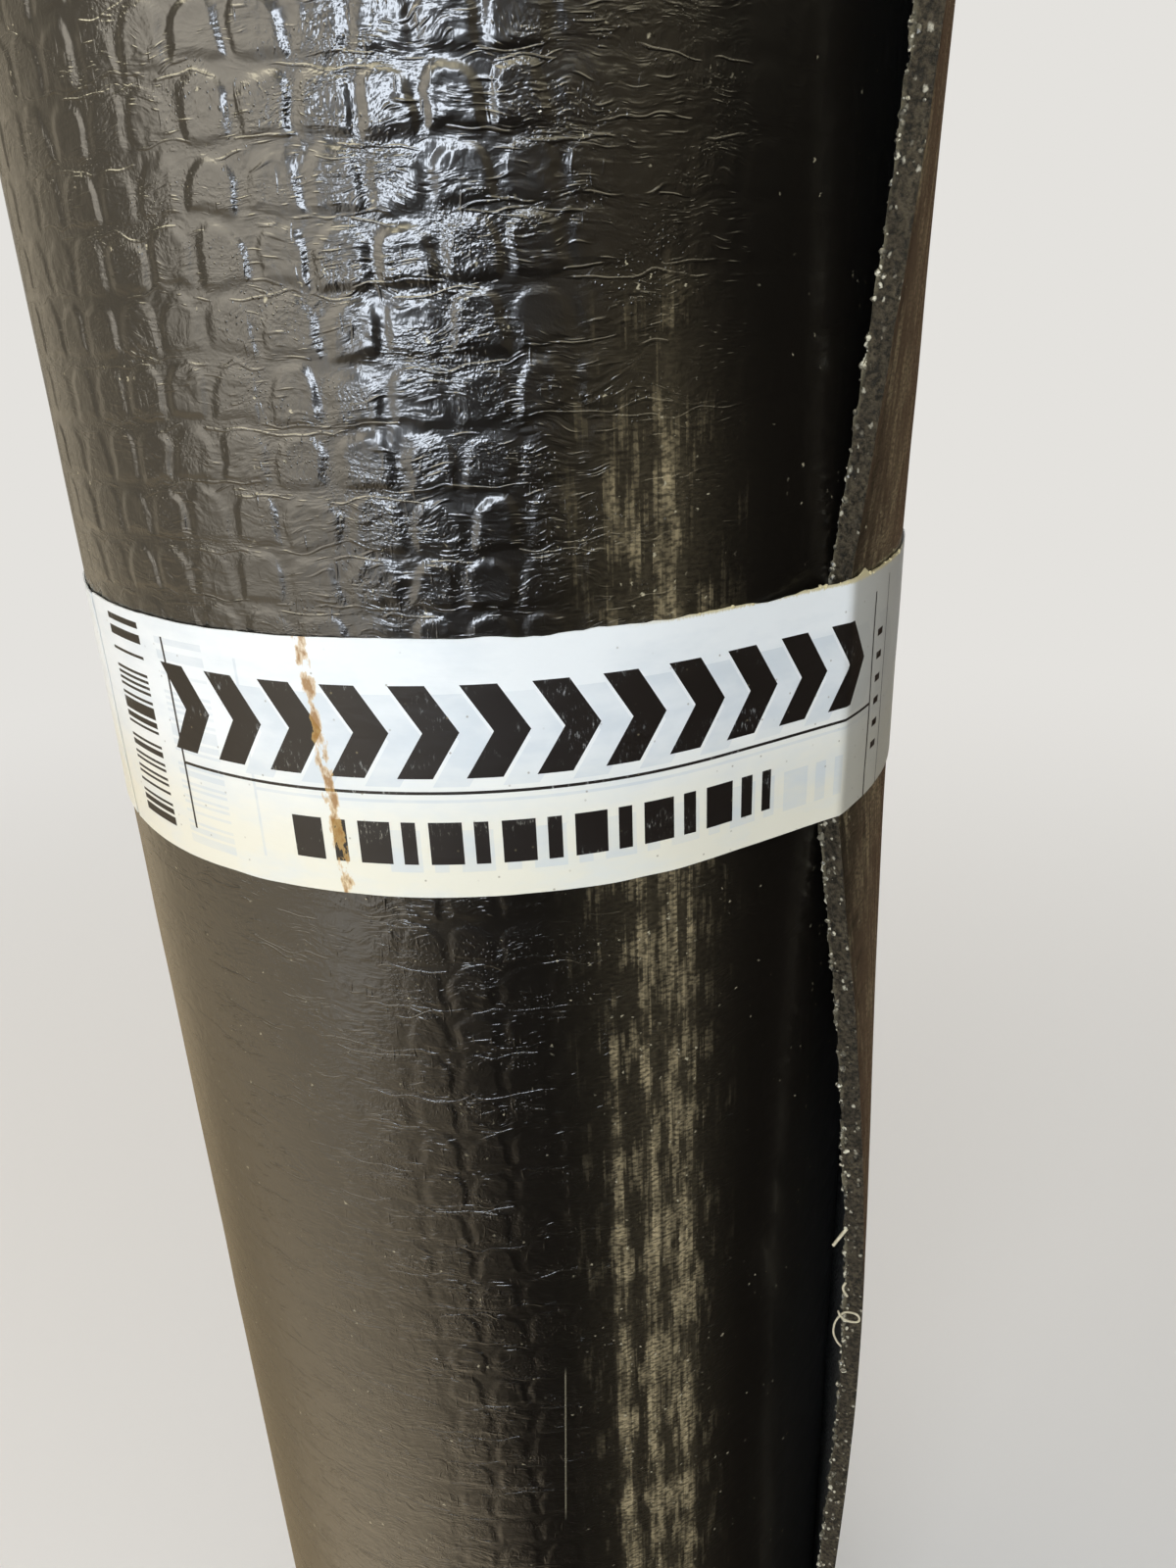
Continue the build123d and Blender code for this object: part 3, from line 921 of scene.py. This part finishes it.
def grain_tree():
    """Geometry Nodes that scatter angular grains over the marked part of a piece."""
    tree, add, start = new_geometry_tree(
        "scattered_grains", Carrier="Object", Density="Float", Smallest="Float", Largest="Float",
        Seed="Int", Stone="Material")
    carrier = add("GeometryNodeObjectInfo", start["Carrier"]).outputs["Geometry"]
    share = add(NAMED, "grain_share", data_type="FLOAT")
    local = add(MATH, share, start["Density"], operation="MULTIPLY")
    points = add("GeometryNodeDistributePointsOnFaces", carrier, density=local, seed=start["Seed"])
    grain = add("GeometryNodeMeshIcoSphere", 1.0, 1)
    spin = add("FunctionNodeRandomValue", (0, 0, 0), (tau, tau, tau), seed=start["Seed"],
               data_type="FLOAT_VECTOR")
    size = add("FunctionNodeRandomValue", start["Smallest"], start["Largest"], seed=start["Seed"],
               data_type="FLOAT")
    flattest, longest = (0.6, 0.6, 0.5), (1.3, 1.0, 0.9)
    stretch = add("FunctionNodeRandomValue", flattest, longest, seed=3, data_type="FLOAT_VECTOR")
    stretch = add(VECTOR, stretch, scale=size, operation="SCALE")
    placed = add("GeometryNodeInstanceOnPoints", points, instance=grain, rotation=spin,
                 scale=stretch)
    real = add("GeometryNodeRealizeInstances", placed)
    add("NodeGroupOutput", add(SET_MATERIAL, real, material=start["Stone"]))
    return tree


def film_face(winding, emboss, angles, heights):
    """How the film face lies at a grid of places: its relief, and the shares that its nodes read.

    Across is the distance from the middle of the front and level the height over the middle of the
    band, in metres. The looks change between the pairs of them that are given here.
    """
    along = angles[:, None] * winding.outer_radius
    level = heights[None, :] - BAND_MIDDLE
    across = along - winding.front
    front = ease(across, -0.19, -0.12) * (1 - ease(across, 0.09, 0.12))

    # The cobbles are crisp to the left of the front above the band, and rolled flat elsewhere
    low = 0.08 + 0.3 * ease(across, -0.035, -0.01)
    crisp = (low + (1 - low) * ease(level, -0.03, 0.06)) * (1 - 0.86 * ease(across, 0.008, 0.032))
    worn = 0.55 + 0.35 * smooth_noise(along / 0.11, level / 0.13, 34)
    emboss_share = worn * (1 - front) + crisp * front
    creased = (0.8 + 0.2 * ease(level, -0.06, 0.04)) * (1 - 0.4 * ease(across, 0.014, 0.045))
    creased = creased * (1 - 0.8 * ease(across, 0.046, 0.056))
    crease_share = 0.7 * (1 - front) + creased * front

    # Only the part that the photograph shows from near is carved into the mesh
    carved = ease(across, -0.11, -0.095) * (1 - ease(across, 0.074, 0.08))
    carved = emboss.carved * carved * ease(level, 0.0, 0.02) * (1 - ease(level, 0.118, 0.136))
    slow = smooth_noise(along / 0.028, level / 0.05, 35)
    slow = slow + 0.5 * smooth_noise(along / 0.012, level / 0.02, 36)
    return emboss.waviness * 0.5 * slow, emboss_share, carved, crease_share


def outer_turn(name, winding, emboss, heights, step):
    """The outermost turn of the sheet between two heights, a real slab with its cut end.

    Its film face is a fine grid, its mineral face a coarse one, and faces with many corners join
    the two along the ends.
    """
    felt = winding.felt
    radius = winding.outer_radius

    # The film's grid is fine from left of the front to just under the loose end
    near_cut = 0.076 / radius
    fine_from, fine_to = tau - 0.188 / radius, tau + 0.004 / radius
    beside_cut, behind, tucked_under = 1.9 * MM, 3.4 * MM, 14 * MM
    angles = np.concatenate([
        spaced(0, near_cut, beside_cut / radius),
        spaced(near_cut, fine_from, behind / radius),
        spaced(fine_from, fine_to, step / radius),
        spaced(fine_to, tau + felt.free_arc, tucked_under / radius),
        [tau + felt.free_arc],
    ])
    columns, rows = len(angles), len(heights)
    along = angles * radius
    relief, *shares = film_face(winding, emboss, angles, heights)
    from_cut = ease(along, 0, 12 * MM)
    settled = (1 - ease(angles, tau, tau + 0.02)) * (0.35 + 0.65 * from_cut)
    relief = relief * settled[:, None]

    # The knife wandered a little, and the cut is rougher towards the mineral side
    z = heights
    wander = 0.5 * smooth_noise(z / 0.03, z * 0, 41) + 0.25 * smooth_noise(z / 0.006, z * 0, 42)
    cut_angle = wander * MM / radius
    film = winding.points(angles[:, None] + cut_angle * (1 - from_cut)[:, None], -relief, z)
    cut_rows = np.array([0.12, 0.26, 0.4, 0.54, 0.68, 0.82, 0.93])
    depths = cut_rows[:, None] * felt.thickness
    rough = smooth_noise(z / 0.0016, depths / 0.0009, 43)
    cut = winding.points(cut_angle + 0.22 * MM * rough / radius, depths, z)
    ragged = 0.45 * smooth_noise(z / 0.0028, z * 0, 44) + 0.2 * smooth_noise(z / 0.009, z * 0, 45)
    torn = 0.2 * MM / radius * smooth_noise(z / 0.002, z * 0, 46)
    edge = winding.points(cut_angle - torn, felt.thickness + ragged * MM, z)

    # Columns and rows of the film face that the coarser mineral face shares
    kept = [0]
    first_step, other_steps = 2.4 * MM, 9 * MM
    for i in range(1, columns):
        needed = first_step if len(kept) == 1 else other_steps
        if along[i] - along[kept[-1]] >= needed or i == columns - 1:
            kept.append(i)
    film_rows_per_inner = 8
    inner_rows = sorted({*range(0, rows, film_rows_per_inner), rows - 1})
    inner = winding.points(angles[kept[1:]][:, None], felt.thickness, z[inner_rows])

    film_at = np.arange(columns * rows).reshape(columns, rows)
    cut_at = film_at.size + np.arange(len(depths) * rows).reshape(-1, rows)
    edge_at = cut_at[-1, -1] + 1 + np.arange(rows)
    inner_at = edge_at[-1] + 1 + np.arange(inner.size // 3).reshape(inner.shape[:2])
    vertices = np.concatenate([part.reshape(-1, 3) for part in (film, cut, edge, inner)])

    # The cut and the mineral face lie beyond the sheet's end on its map, where the film has nothing
    beyond_sheet = -5 * MM
    uv = np.stack([np.full(len(vertices), beyond_sheet), vertices[:, 2]], axis=-1)
    uv[: film_at.size, 0] = np.repeat(along, rows)

    film_faces = grid_faces(film_at)
    cut_faces = grid_faces(np.concatenate([film_at[:1], cut_at, edge_at[None, :]]), False)
    mineral_faces = grid_faces(inner_at, False)
    for number, (low, high) in enumerate(zip(inner_rows[:-1], inner_rows[1:])):
        chain = edge_at[low : high + 1].tolist()
        mineral_faces.append(chain + [int(inner_at[0, number + 1]), int(inner_at[0, number])])
    for row, inner_row, upper in ((rows - 1, -1, True), (0, 0, False)):
        for number, (low, high) in enumerate(zip(kept[:-1], kept[1:])):
            chain = [*film_at[low : high + 1, row], inner_at[number, inner_row]]
            if number:
                chain.append(inner_at[number - 1, inner_row])
            else:
                chain += [edge_at[row], *cut_at[::-1, row]]
            chain = [int(i) for i in chain]
            cut_faces.append(chain if upper else chain[::-1])
    cut_faces.append(film_at[-1, ::-1].tolist() + inner_at[-1, :].tolist())

    base = mesh_object(name + "_base", vertices, film_faces + cut_faces + mineral_faces, uv)
    kinds = np.repeat([FILM, CUT, MINERAL], [len(film_faces), len(cut_faces), len(mineral_faces)])
    store(base, "surface", kinds.astype(np.int32), "INT", "FACE")

    # What the nodes read: the film's shares, and where loose grains lie on the cut
    for label, share in zip(SHARES, shares):
        values = np.zeros(len(vertices), dtype=np.float32)
        values[: film_at.size] = share.ravel()
        store(base, label, values)
    grains = np.zeros(len(vertices), dtype=np.float32)
    clumps = 0.55 + 0.45 * smooth_noise(z / 0.004, z * 0, 47)
    grains[cut_at] = (0.015 + 0.85 * ease(depths, 0.7 * felt.thickness, felt.thickness)) * clumps
    grains[edge_at] = clumps
    store(base, "grain_share", grains)
    return realise(
        name, embossed_tree(), base, origin=winding.origin,
        cobble_width=emboss.cobble_width / MM, cobble_height=emboss.cobble_height / MM,
        groove=emboss.groove / MM, depth=emboss.depth / MM, **sheet_materials(winding, emboss),
    )


def thread(name, points, radius, material):
    """A thread through points, as a plain mesh."""
    data = bpy.data.curves.new(name, "CURVE")
    data.dimensions = "3D"
    data.bevel_depth = radius
    data.bevel_resolution = 2
    data.use_fill_caps = True
    spline = data.splines.new("BEZIER")
    spline.bezier_points.add(len(points) - 1)
    spline.resolution_u = 6
    for knot, point in zip(spline.bezier_points, points):
        knot.co = point
        knot.handle_left_type = knot.handle_right_type = "AUTO"
    piece = plain_mesh(name, add_object(name, data))
    piece.data.materials.clear()
    piece.data.materials.append(material)
    piece.data.polygons.foreach_set("use_smooth", [True] * len(piece.data.polygons))
    return piece


def band_path(winding, gap):
    """A line round the roll at a gap from the felt, as one lap of the tape lies.

    It follows the turn from the sheet's outer end to where it leaves it, then goes straight to the
    corner of that end. Returned are its points, their outward directions, their distances from the
    middle of the front, and its length.
    """
    end = winding.felt.end_direction
    corner = winding.outer_radius + gap
    before_corner, bridge_points = 0.95 * tau, 24
    leave = tau - acos((winding.radius(before_corner) + gap) / corner)
    angles = np.append(spaced(0, leave, 1.5 * MM / winding.outer_radius), leave)
    reach = winding.radius(angles) + gap
    turn = np.stack([reach * np.cos(angles + end), reach * np.sin(angles + end)], axis=-1)
    tip = np.array([corner * cos(end), corner * sin(end)])
    shares = np.linspace(0, 1, bridge_points)[1:-1, None]
    path = np.concatenate([turn, turn[-1] * (1 - shares) + tip * shares])
    step = np.roll(path, -1, axis=0) - np.roll(path, 1, axis=0)
    normal = np.stack([step[:, 1], -step[:, 0]], axis=-1)
    normal /= np.linalg.norm(normal, axis=1)[:, None]
    distance = np.append(0, np.cumsum(np.linalg.norm(np.diff(path, axis=0), axis=1)))
    length = distance[-1] + np.linalg.norm(path[0] - path[-1])
    front = np.interp(FRONT - end, angles, distance[: len(angles)])
    return path, normal, distance - front, length


def tape_lap(name, winding, band, lift, cut, material):
    """One lap of the tape as a thin slab round the roll, closed or cut, with worn edges."""
    path, normal, place, length = band_path(winding, band.gap + lift)
    start = band.torn_end * winding.outer_radius
    travelled = (place - start) % length
    order = np.argsort(travelled)
    path, normal, u = path[order], normal[order], start + travelled[order][:, None]
    rows = np.concatenate([[0, 0.006, 0.02], np.linspace(0.05, 0.95, 24), [0.98, 0.994, 1]])

    # Its edges are nibbled, the upper one more beyond the front, with a nick at the sheet's end
    nibble = 0.16 * smooth_noise(u / 0.0022, u * 0, 51) + 0.22 * smooth_noise(u / 0.011, u * 0, 52)
    worn = ease(u, -0.02, 0.01)
    nick_place, nick_width = 80.5 * MM, 1.6 * MM
    nick = 1.3 * np.exp(-(((u - nick_place) / nick_width) ** 2))
    top = BAND_HIGH + (nibble * (0.4 + 1.0 * worn) - 0.4 * worn + nick * cut) * MM
    bottom = BAND_LOW + 0.12 * MM * smooth_noise(u / 0.007, u * 0, 53)
    level = bottom + (top - bottom) * rows
    edge = np.abs(rows - 0.5) * 2

    # It lies a little unevenly, most so at its edges
    lie = 0.25 * smooth_noise(u / 0.014, level / 0.02, 54) * edge**3
    lie = (lie + 0.1 * smooth_noise(u / 0.02, level / 0.015, 55)).clip(-0.1) * MM
    outer = np.empty((len(path), len(rows), 3))
    outer[..., :2] = path[:, None, :] + normal[:, None, :] * lie[..., None]
    outer[..., 2] = level
    inner = outer.copy()
    inner[..., :2] -= normal[:, None, :] * band.tape
    uv = np.stack(np.broadcast_arrays(u, level - BAND_MIDDLE), axis=-1).reshape(-1, 2)

    # Round the section of the slab and back to its start, so that each lap is one closed skin
    outer_at = np.arange(len(path) * len(rows)).reshape(len(path), -1)
    around = np.concatenate([outer_at, outer_at[:, ::-1] + outer_at.size, outer_at[:, :1]], axis=1)
    if not cut:
        around = np.concatenate([around, around[:1]])
    faces = grid_faces(around)
    if cut:
        faces += [around[0, :-1].tolist(), around[-1, -2::-1].tolist()]
    piece = mesh_object(name, np.concatenate([outer.reshape(-1, 3), inner.reshape(-1, 3)]), faces,
                        np.concatenate([uv, uv]), sharp=60)
    piece.data.materials.append(material)

    # Crumbs cling to the upper edge near the step
    crumbly = np.zeros(len(piece.data.vertices), dtype=np.float32)
    crumbly[outer_at[:, -1]] = (ease(u, 0.03, 0.05) * (1 - ease(u, 0.1, 0.11)))[:, 0]
    store(piece, "grain_share", crumbly)
    return finished(piece, "wrapping_band")


class ROLL_OT_outer_turn(bpy.types.Operator):
    """Add the outermost turn above and below the band, with its sprung loose end"""

    bl_idname = "felt_roll.outer_turn"
    bl_label = "Outer Turn"
    bl_options = {"REGISTER", "UNDO"}

    def execute(self, context):
        winding = Winding(context.scene.roll_felt)
        # Rows are close together where the photograph shows them, and closest on the carved cobbles
        middle, coarse, hidden = BAND_MIDDLE, 4.2 * MM, 5.5 * MM
        carved, seen = 0.8 * MM, 1.7 * MM
        behind_band, carved_top, seen_bottom = 0.022, middle + 0.138, middle - 0.3
        above = np.concatenate([
            spaced(middle, middle + behind_band, hidden),
            spaced(middle + behind_band, carved_top, carved),
            spaced(carved_top, ROLL_HEIGHT, coarse),
            [ROLL_HEIGHT],
        ])
        below = np.concatenate([
            spaced(0.0, seen_bottom, coarse),
            spaced(seen_bottom, middle - behind_band, seen),
            spaced(middle - behind_band, middle, hidden),
            [middle],
        ])

        # Each part with its rows and the width of its finest columns
        parts = (("felt_above_band", above, 0.82 * MM), ("felt_below_band", below, 1.6 * MM))
        for name, heights, step in parts:
            piece = outer_turn(name, winding, context.scene.roll_emboss, heights, step)
            finished(piece, "felt_roll")
        return {"FINISHED"}


class ROLL_OT_inner_turns(bpy.types.Operator):
    """Add the turns inside the outermost one, down to the bore"""

    bl_idname = "felt_roll.inner_turns"
    bl_label = "Inner Turns"
    bl_options = {"REGISTER", "UNDO"}

    def execute(self, context):
        winding = Winding(context.scene.roll_felt)
        felt = winding.felt
        outer_angle, inner_angle = tau + felt.free_arc, winding.turns * tau
        shorter, edge_wave = 0.2 * MM, 2.2 * MM
        piece = realise(
            "felt_inner_turns", wound_sheet_tree(),
            inner_radius=winding.radius(inner_angle) - felt.thickness / 2,
            outer_radius=winding.radius(outer_angle) - felt.thickness / 2,
            turns=winding.turns - outer_angle / tau,
            start_angle=(inner_angle + felt.end_direction) % tau,
            thickness=felt.thickness, width=ROLL_HEIGHT - shorter, steps=160, edge_wave=edge_wave,
            **sheet_materials(winding, context.scene.roll_emboss),
        )
        finished(piece, "felt_roll")
        return {"FINISHED"}


class ROLL_OT_edge_grains(bpy.types.Operator):
    """Add the stone grains and the drawn threads along the sheet's cut end"""

    bl_idname = "felt_roll.edge_grains"
    bl_label = "Edge Grains and Threads"
    bl_options = {"REGISTER", "UNDO"}

    def execute(self, context):
        grain = context.scene.roll_grain
        winding = Winding(context.scene.roll_felt)
        tree = grain_tree()
        stone = material_named("loose_stone_grains", loose_grain_material)
        for number, carrier in enumerate(("felt_above_band", "felt_below_band")):
            piece = realise(
                carrier.replace("felt", "edge_grains"), tree, carrier=bpy.data.objects[carrier],
                density=grain.density, smallest=grain.smallest, largest=grain.largest,
                seed=grain.seed + number, stone=stone)
            finished(piece, None)

        # Each thread has a height in metres, a radius in millimetres, and knots in millimetres to
        # the left, towards the viewer and up from the cut's far edge
        threads = (
            (0.3333, 0.27, ((0.1, 0.2, -11.6), (1.5, 0.5, -9.0), (2.5, 0.6, -5.0), (1.3, 0.8, -0.2),
                            (-0.8, 2.0, 2.4), (-3.0, 3.9, 2.2), (-0.8, 2.6, -0.1), (1.1, 1.5, 0.6),
                            (1.8, 1.2, 2.2))),
            (0.3615, 0.42, ((-0.4, 0.3, 0.4), (1.2, 0.4, -2.0), (2.8, 0.5, -4.6))),
            (0.3425, 0.32, ((-0.2, 0.3, 1.6), (0.5, 0.6, 0.2), (-0.5, 1.4, -2.0))),
            (0.845, 0.20, ((-0.1, 0.2, 0.3), (1.6, 0.3, 0.9), (2.4, 0.8, -1.6), (1.2, 1.0, -3.0))),
            (0.118, 0.20, ((-0.3, 0.2, 0.0), (1.3, 0.5, 0.8), (2.8, 0.9, 0.3))),
        )
        cream = material_named("carrier_threads", cream_material, "carrier_threads", "#a39a80",
                               "#e6dcc0", 1.2 * MM)
        for number, (height, radius, knots) in enumerate(threads):
            root = Vector(winding.points(np.array([0.0]), winding.felt.thickness, height)[0])
            points = [root + Vector((-left, -near, up)) * MM for left, near, up in knots]
            piece = thread("thread_" + str(number + 1), points, radius * MM, cream)
            finished(piece, None)
        return {"FINISHED"}


class ROLL_OT_band(bpy.types.Operator):
    """Add the two laps of the printed tape and the crumbs of adhesive on its edge"""

    bl_idname = "felt_roll.band"
    bl_label = "Printed Band"
    bl_options = {"REGISTER", "UNDO"}

    def execute(self, context):
        winding = Winding(context.scene.roll_felt)
        band = context.scene.roll_band
        material = material_named("printed_white_tape", tape_material, band)
        inner_lift, outer_lift = band.tape, 2.4 * band.tape
        tape_lap("tape_inner_lap", winding, band, inner_lift, False, material)
        lap = tape_lap("tape_outer_lap", winding, band, outer_lift, True, material)
        cream = material_named("adhesive_crumbs", cream_material, "adhesive_crumbs", "#a08f5c",
                               "#e4dcb8", 0.8 * MM)
        crumbs = realise("adhesive_crumbs", grain_tree(), carrier=lap, density=1.4e6,
                         smallest=0.12 * MM, largest=0.55 * MM, seed=4, stone=cream)
        finished(crumbs, None)
        return {"FINISHED"}


class ROLL_OT_stage(bpy.types.Operator):
    """Add the floor, the lamps, the reflector cards and the camera"""

    bl_idname = "felt_roll.stage"
    bl_label = "Stage"
    bl_options = {"REGISTER", "UNDO"}

    def execute(self, context):
        scene = context.scene
        stage = scene.roll_stage
        make_floor(stage)
        make_world(scene, stage)
        make_lamps()
        make_cards()
        make_camera(scene, stage)
        scene.view_settings.view_transform = "Standard"
        return {"FINISHED"}


def make_floor(stage):
    """A wide pale floor under the roll. Gloss sees the cards instead of it."""
    steps, radius = 96, 30.0
    turns = [tau * step / steps for step in range(steps)]
    ring = [(radius * cos(turn), radius * sin(turn), 0.0) for turn in turns]
    floor = mesh_object("floor", ring, [list(range(steps))])
    floor.data.materials.append(floor_material(stage))
    floor.visible_glossy = False


def make_world(scene, stage):
    """Soft light from all round, with the floor's colour where the camera looks past it."""
    world = bpy.data.worlds.new("studio")
    scene.world = world
    world.use_nodes = True
    world.node_tree.nodes.clear()
    add = partial(add_node, world.node_tree)
    rays = add("ShaderNodeLightPath").outputs
    seen = add(MATH, rays["Is Camera Ray"], rays["Is Glossy Ray"], operation="MAXIMUM")
    seen = add(MATH, seen, rays["Is Transmission Ray"], operation="MAXIMUM")
    soft = add("ShaderNodeBackground", color=linear("#f4f2ef"), strength=0.3)
    pale = add("ShaderNodeBackground", color=tuple(stage.floor_colour), strength=1.0)
    add("ShaderNodeOutputWorld", add("ShaderNodeMixShader", seen, soft, pale))


def make_lamps():
    """Soft lamps that light what is dull; gloss sees the cards in their place."""
    # Each lamp: its name, azimuth from the front towards +X, distance, height, the width and height
    # of its pane, its watts and its colour
    lamps = (
        ("window_lamp", -12, 0.9, 0.66, 0.55, 0.62, 6.4, "#e9f1fb"),
        ("left_lamp", -85, 1.6, 0.9, 1.0, 1.0, 9.5, "#fff1e2"),
        ("back_lamp", 165, 1.8, 1.3, 1.2, 1.0, 13.0, "#ffffff"),
        ("top_lamp", 0, 0.25, 2.3, 1.2, 1.2, 12.0, "#ffffff"),
    )
    for name, azimuth, distance, height, width, tall, watts, colour in lamps:
        data = bpy.data.lights.new(name, "AREA")
        data.shape = "RECTANGLE"
        data.size = width
        data.size_y = tall
        data.energy = watts
        data.color = linear(colour)[:3]
        lamp = add_object(name, data)
        turn = radians(azimuth)
        lamp.location = (distance * sin(turn), -distance * cos(turn), height)
        aim = Vector((0, 0, BAND_MIDDLE)) - lamp.location
        lamp.rotation_euler = aim.to_track_quat("-Z", "Y").to_euler()
        lamp.visible_camera = False
        lamp.visible_glossy = False


def make_cards():
    """A round studio tent that only gloss sees, with soft-edged cards glowing on its wall."""
    radius, columns, rows = 3.0, 96, 32
    azimuths = tau * np.arange(columns)[:, None] / columns
    elevations = pi * (np.arange(rows + 1)[None, :] / rows - 0.5)
    reach = radius * np.cos(elevations)
    vertices = np.stack(np.broadcast_arrays(
        reach * np.sin(azimuths), -reach * np.cos(azimuths),
        BAND_MIDDLE + radius * np.sin(elevations)), axis=-1).reshape(-1, 3)
    at = np.arange(columns * (rows + 1)).reshape(columns, rows + 1)
    at = np.concatenate([at, at[:1]])
    tent = mesh_object("studio_tent", vertices, grid_faces(at, False))
    for kind in ("camera", "diffuse", "transmission", "volume_scatter", "shadow"):
        setattr(tent, "visible_" + kind, False)

    material, add = new_material("glowing_cards")
    split = add(SPLIT, add("ShaderNodeTexCoord").outputs["Object"])
    front = add(MATH, split.outputs["Y"], -1.0, operation="MULTIPLY")
    azimuth = add(MATH, split.outputs["X"], front, operation="ARCTAN2")
    azimuth = add(MATH, azimuth, degrees(1), operation="MULTIPLY")
    rise = add(MATH, split.outputs["Z"], BAND_MIDDLE, operation="SUBTRACT")
    rise = add(MATH, rise, radius, operation="DIVIDE")
    elevation = add(MATH, add(MATH, rise, operation="ARCSINE"), degrees(1), operation="MULTIPLY")
    leaning = add(MATH, azimuth, elevation, operation="SUBTRACT")
    behind = add(MATH, azimuth, 360.0, 0.0, operation="WRAP")

    # Each card: its edges in azimuth and elevation with their softness, its colour and strength
    cards = (
        ("window", leaning, (-28, -16, 2.5), (0, 34, 5), "#e6effb", 19.0),
        ("window_sill", leaning, (-27, -11, 5), (-34, 3, 7), "#e2e6ea", 0.8),
        ("bright_wall", azimuth, (-72, -30, 10), (-10, 60, 28), "#f3ead9", 3.6),
        ("far_wall", azimuth, (-150, -70, 14), (-25, 30, 22), "#d8cbb2", 0.62),
        ("near_floor", azimuth, (-95, -28, 26), (-80, -20, 18), "#d6c5a8", 1.25),
        ("left_floor", azimuth, (-165, -90, 20), (-85, -18, 16), "#d9c29b", 0.42),
        ("ceiling", azimuth, (-125, 8, 14), (38, 74, 8), "#f2e8c8", 6.5),
        ("right_wall", azimuth, (18, 56, 12), (-8, 30, 14), "#b9a888", 0.42),
        ("right_ceiling", azimuth, (14, 85, 14), (24, 74, 12), "#f2e8c8", 2.2),
        ("right_back", azimuth, (112, 160, 12), (-60, 40, 20), "#8a6e55", 0.30),
        ("back_box", behind, (172, 204, 6), (-8, 40, 10), "#f0f0ee", 2.2),
    )
    dim_room = (0.012, 0.010, 0.008)
    glow = dim_room
    for name, angle, sides, ends, colour, strength in cards:
        inside = strength
        for value, (start, stop, soft) in ((angle, sides), (elevation, ends)):
            for limit, into in ((start, soft), (stop, -soft)):
                step = add(RANGE, value, limit - into, limit + into,
                           interpolation_type="SMOOTHSTEP", label=name)
                inside = add(MATH, step, inside, operation="MULTIPLY")
        shine = add(VECTOR, linear(colour)[:3], scale=inside, operation="SCALE")
        glow = add(VECTOR, shine, glow, operation="ADD")
    add("ShaderNodeOutputMaterial", add("ShaderNodeEmission", color=glow, strength=1.0))
    material.cycles.emission_sampling = "NONE"
    tent.data.materials.append(material)


def make_camera(scene, stage):
    """The camera where the photograph was taken from."""
    data = bpy.data.cameras.new("camera")
    data.lens = stage.lens
    data.sensor_width = 36
    data.clip_start = 0.01
    camera = add_object("camera", data)
    yaw, pitch, roll = stage.yaw, stage.pitch, stage.roll
    forward = Vector((sin(yaw) * cos(pitch), cos(yaw) * cos(pitch), -sin(pitch)))
    level = Vector((cos(yaw), -sin(yaw), 0))
    upright = level.cross(forward)
    right = level * cos(roll) + upright * sin(roll)
    up = upright * cos(roll) - level * sin(roll)
    turn = Matrix((right, up, -forward)).transposed().to_4x4()
    place = Vector(stage.camera_place) + Vector((0, 0, BAND_MIDDLE))
    camera.matrix_world = Matrix.Translation(place) @ turn
    scene.camera = camera


GROUPS = (
    ("roll_felt", "Felt", FeltSettings),
    ("roll_emboss", "Emboss", EmbossSettings),
    ("roll_band", "Band", BandSettings),
    ("roll_grain", "Grains", GrainSettings),
    ("roll_stage", "Stage", StageSettings),
)
OPERATORS = (
    ROLL_OT_outer_turn,
    ROLL_OT_inner_turns,
    ROLL_OT_edge_grains,
    ROLL_OT_band,
    ROLL_OT_stage,
)


class ROLL_PT_panel(bpy.types.Panel):
    """Sidebar panel with the sizes and colours that can be changed and a button for each piece"""

    bl_idname = "ROLL_PT_panel"
    bl_label = "Roofing Felt Roll"
    bl_space_type = "VIEW_3D"
    bl_region_type = "UI"
    bl_category = "Felt Roll"

    def draw(self, context):
        for name, label, group in GROUPS:
            box = self.layout.box()
            box.label(text=label)
            for setting in group.__annotations__:
                box.prop(getattr(context.scene, name), setting)
        for operator in OPERATORS:
            self.layout.operator(operator.bl_idname)


def register():
    """Register the settings, the operators and the panel."""
    for name, _, group in GROUPS:
        bpy.utils.register_class(group)
        setattr(bpy.types.Scene, name, PointerProperty(type=group))
    for operator in OPERATORS:
        bpy.utils.register_class(operator)
    bpy.utils.register_class(ROLL_PT_panel)


def unregister():
    """Take them out again, last first."""
    bpy.utils.unregister_class(ROLL_PT_panel)
    for operator in reversed(OPERATORS):
        bpy.utils.unregister_class(operator)
    for name, _, group in reversed(GROUPS):
        delattr(bpy.types.Scene, name)
        bpy.utils.unregister_class(group)


def main():
    """Build everything."""
    register()
    bpy.ops.felt_roll.outer_turn()
    bpy.ops.felt_roll.inner_turns()
    bpy.ops.felt_roll.edge_grains()
    bpy.ops.felt_roll.band()
    bpy.ops.felt_roll.stage()


if __name__ == "__main__":
    main()
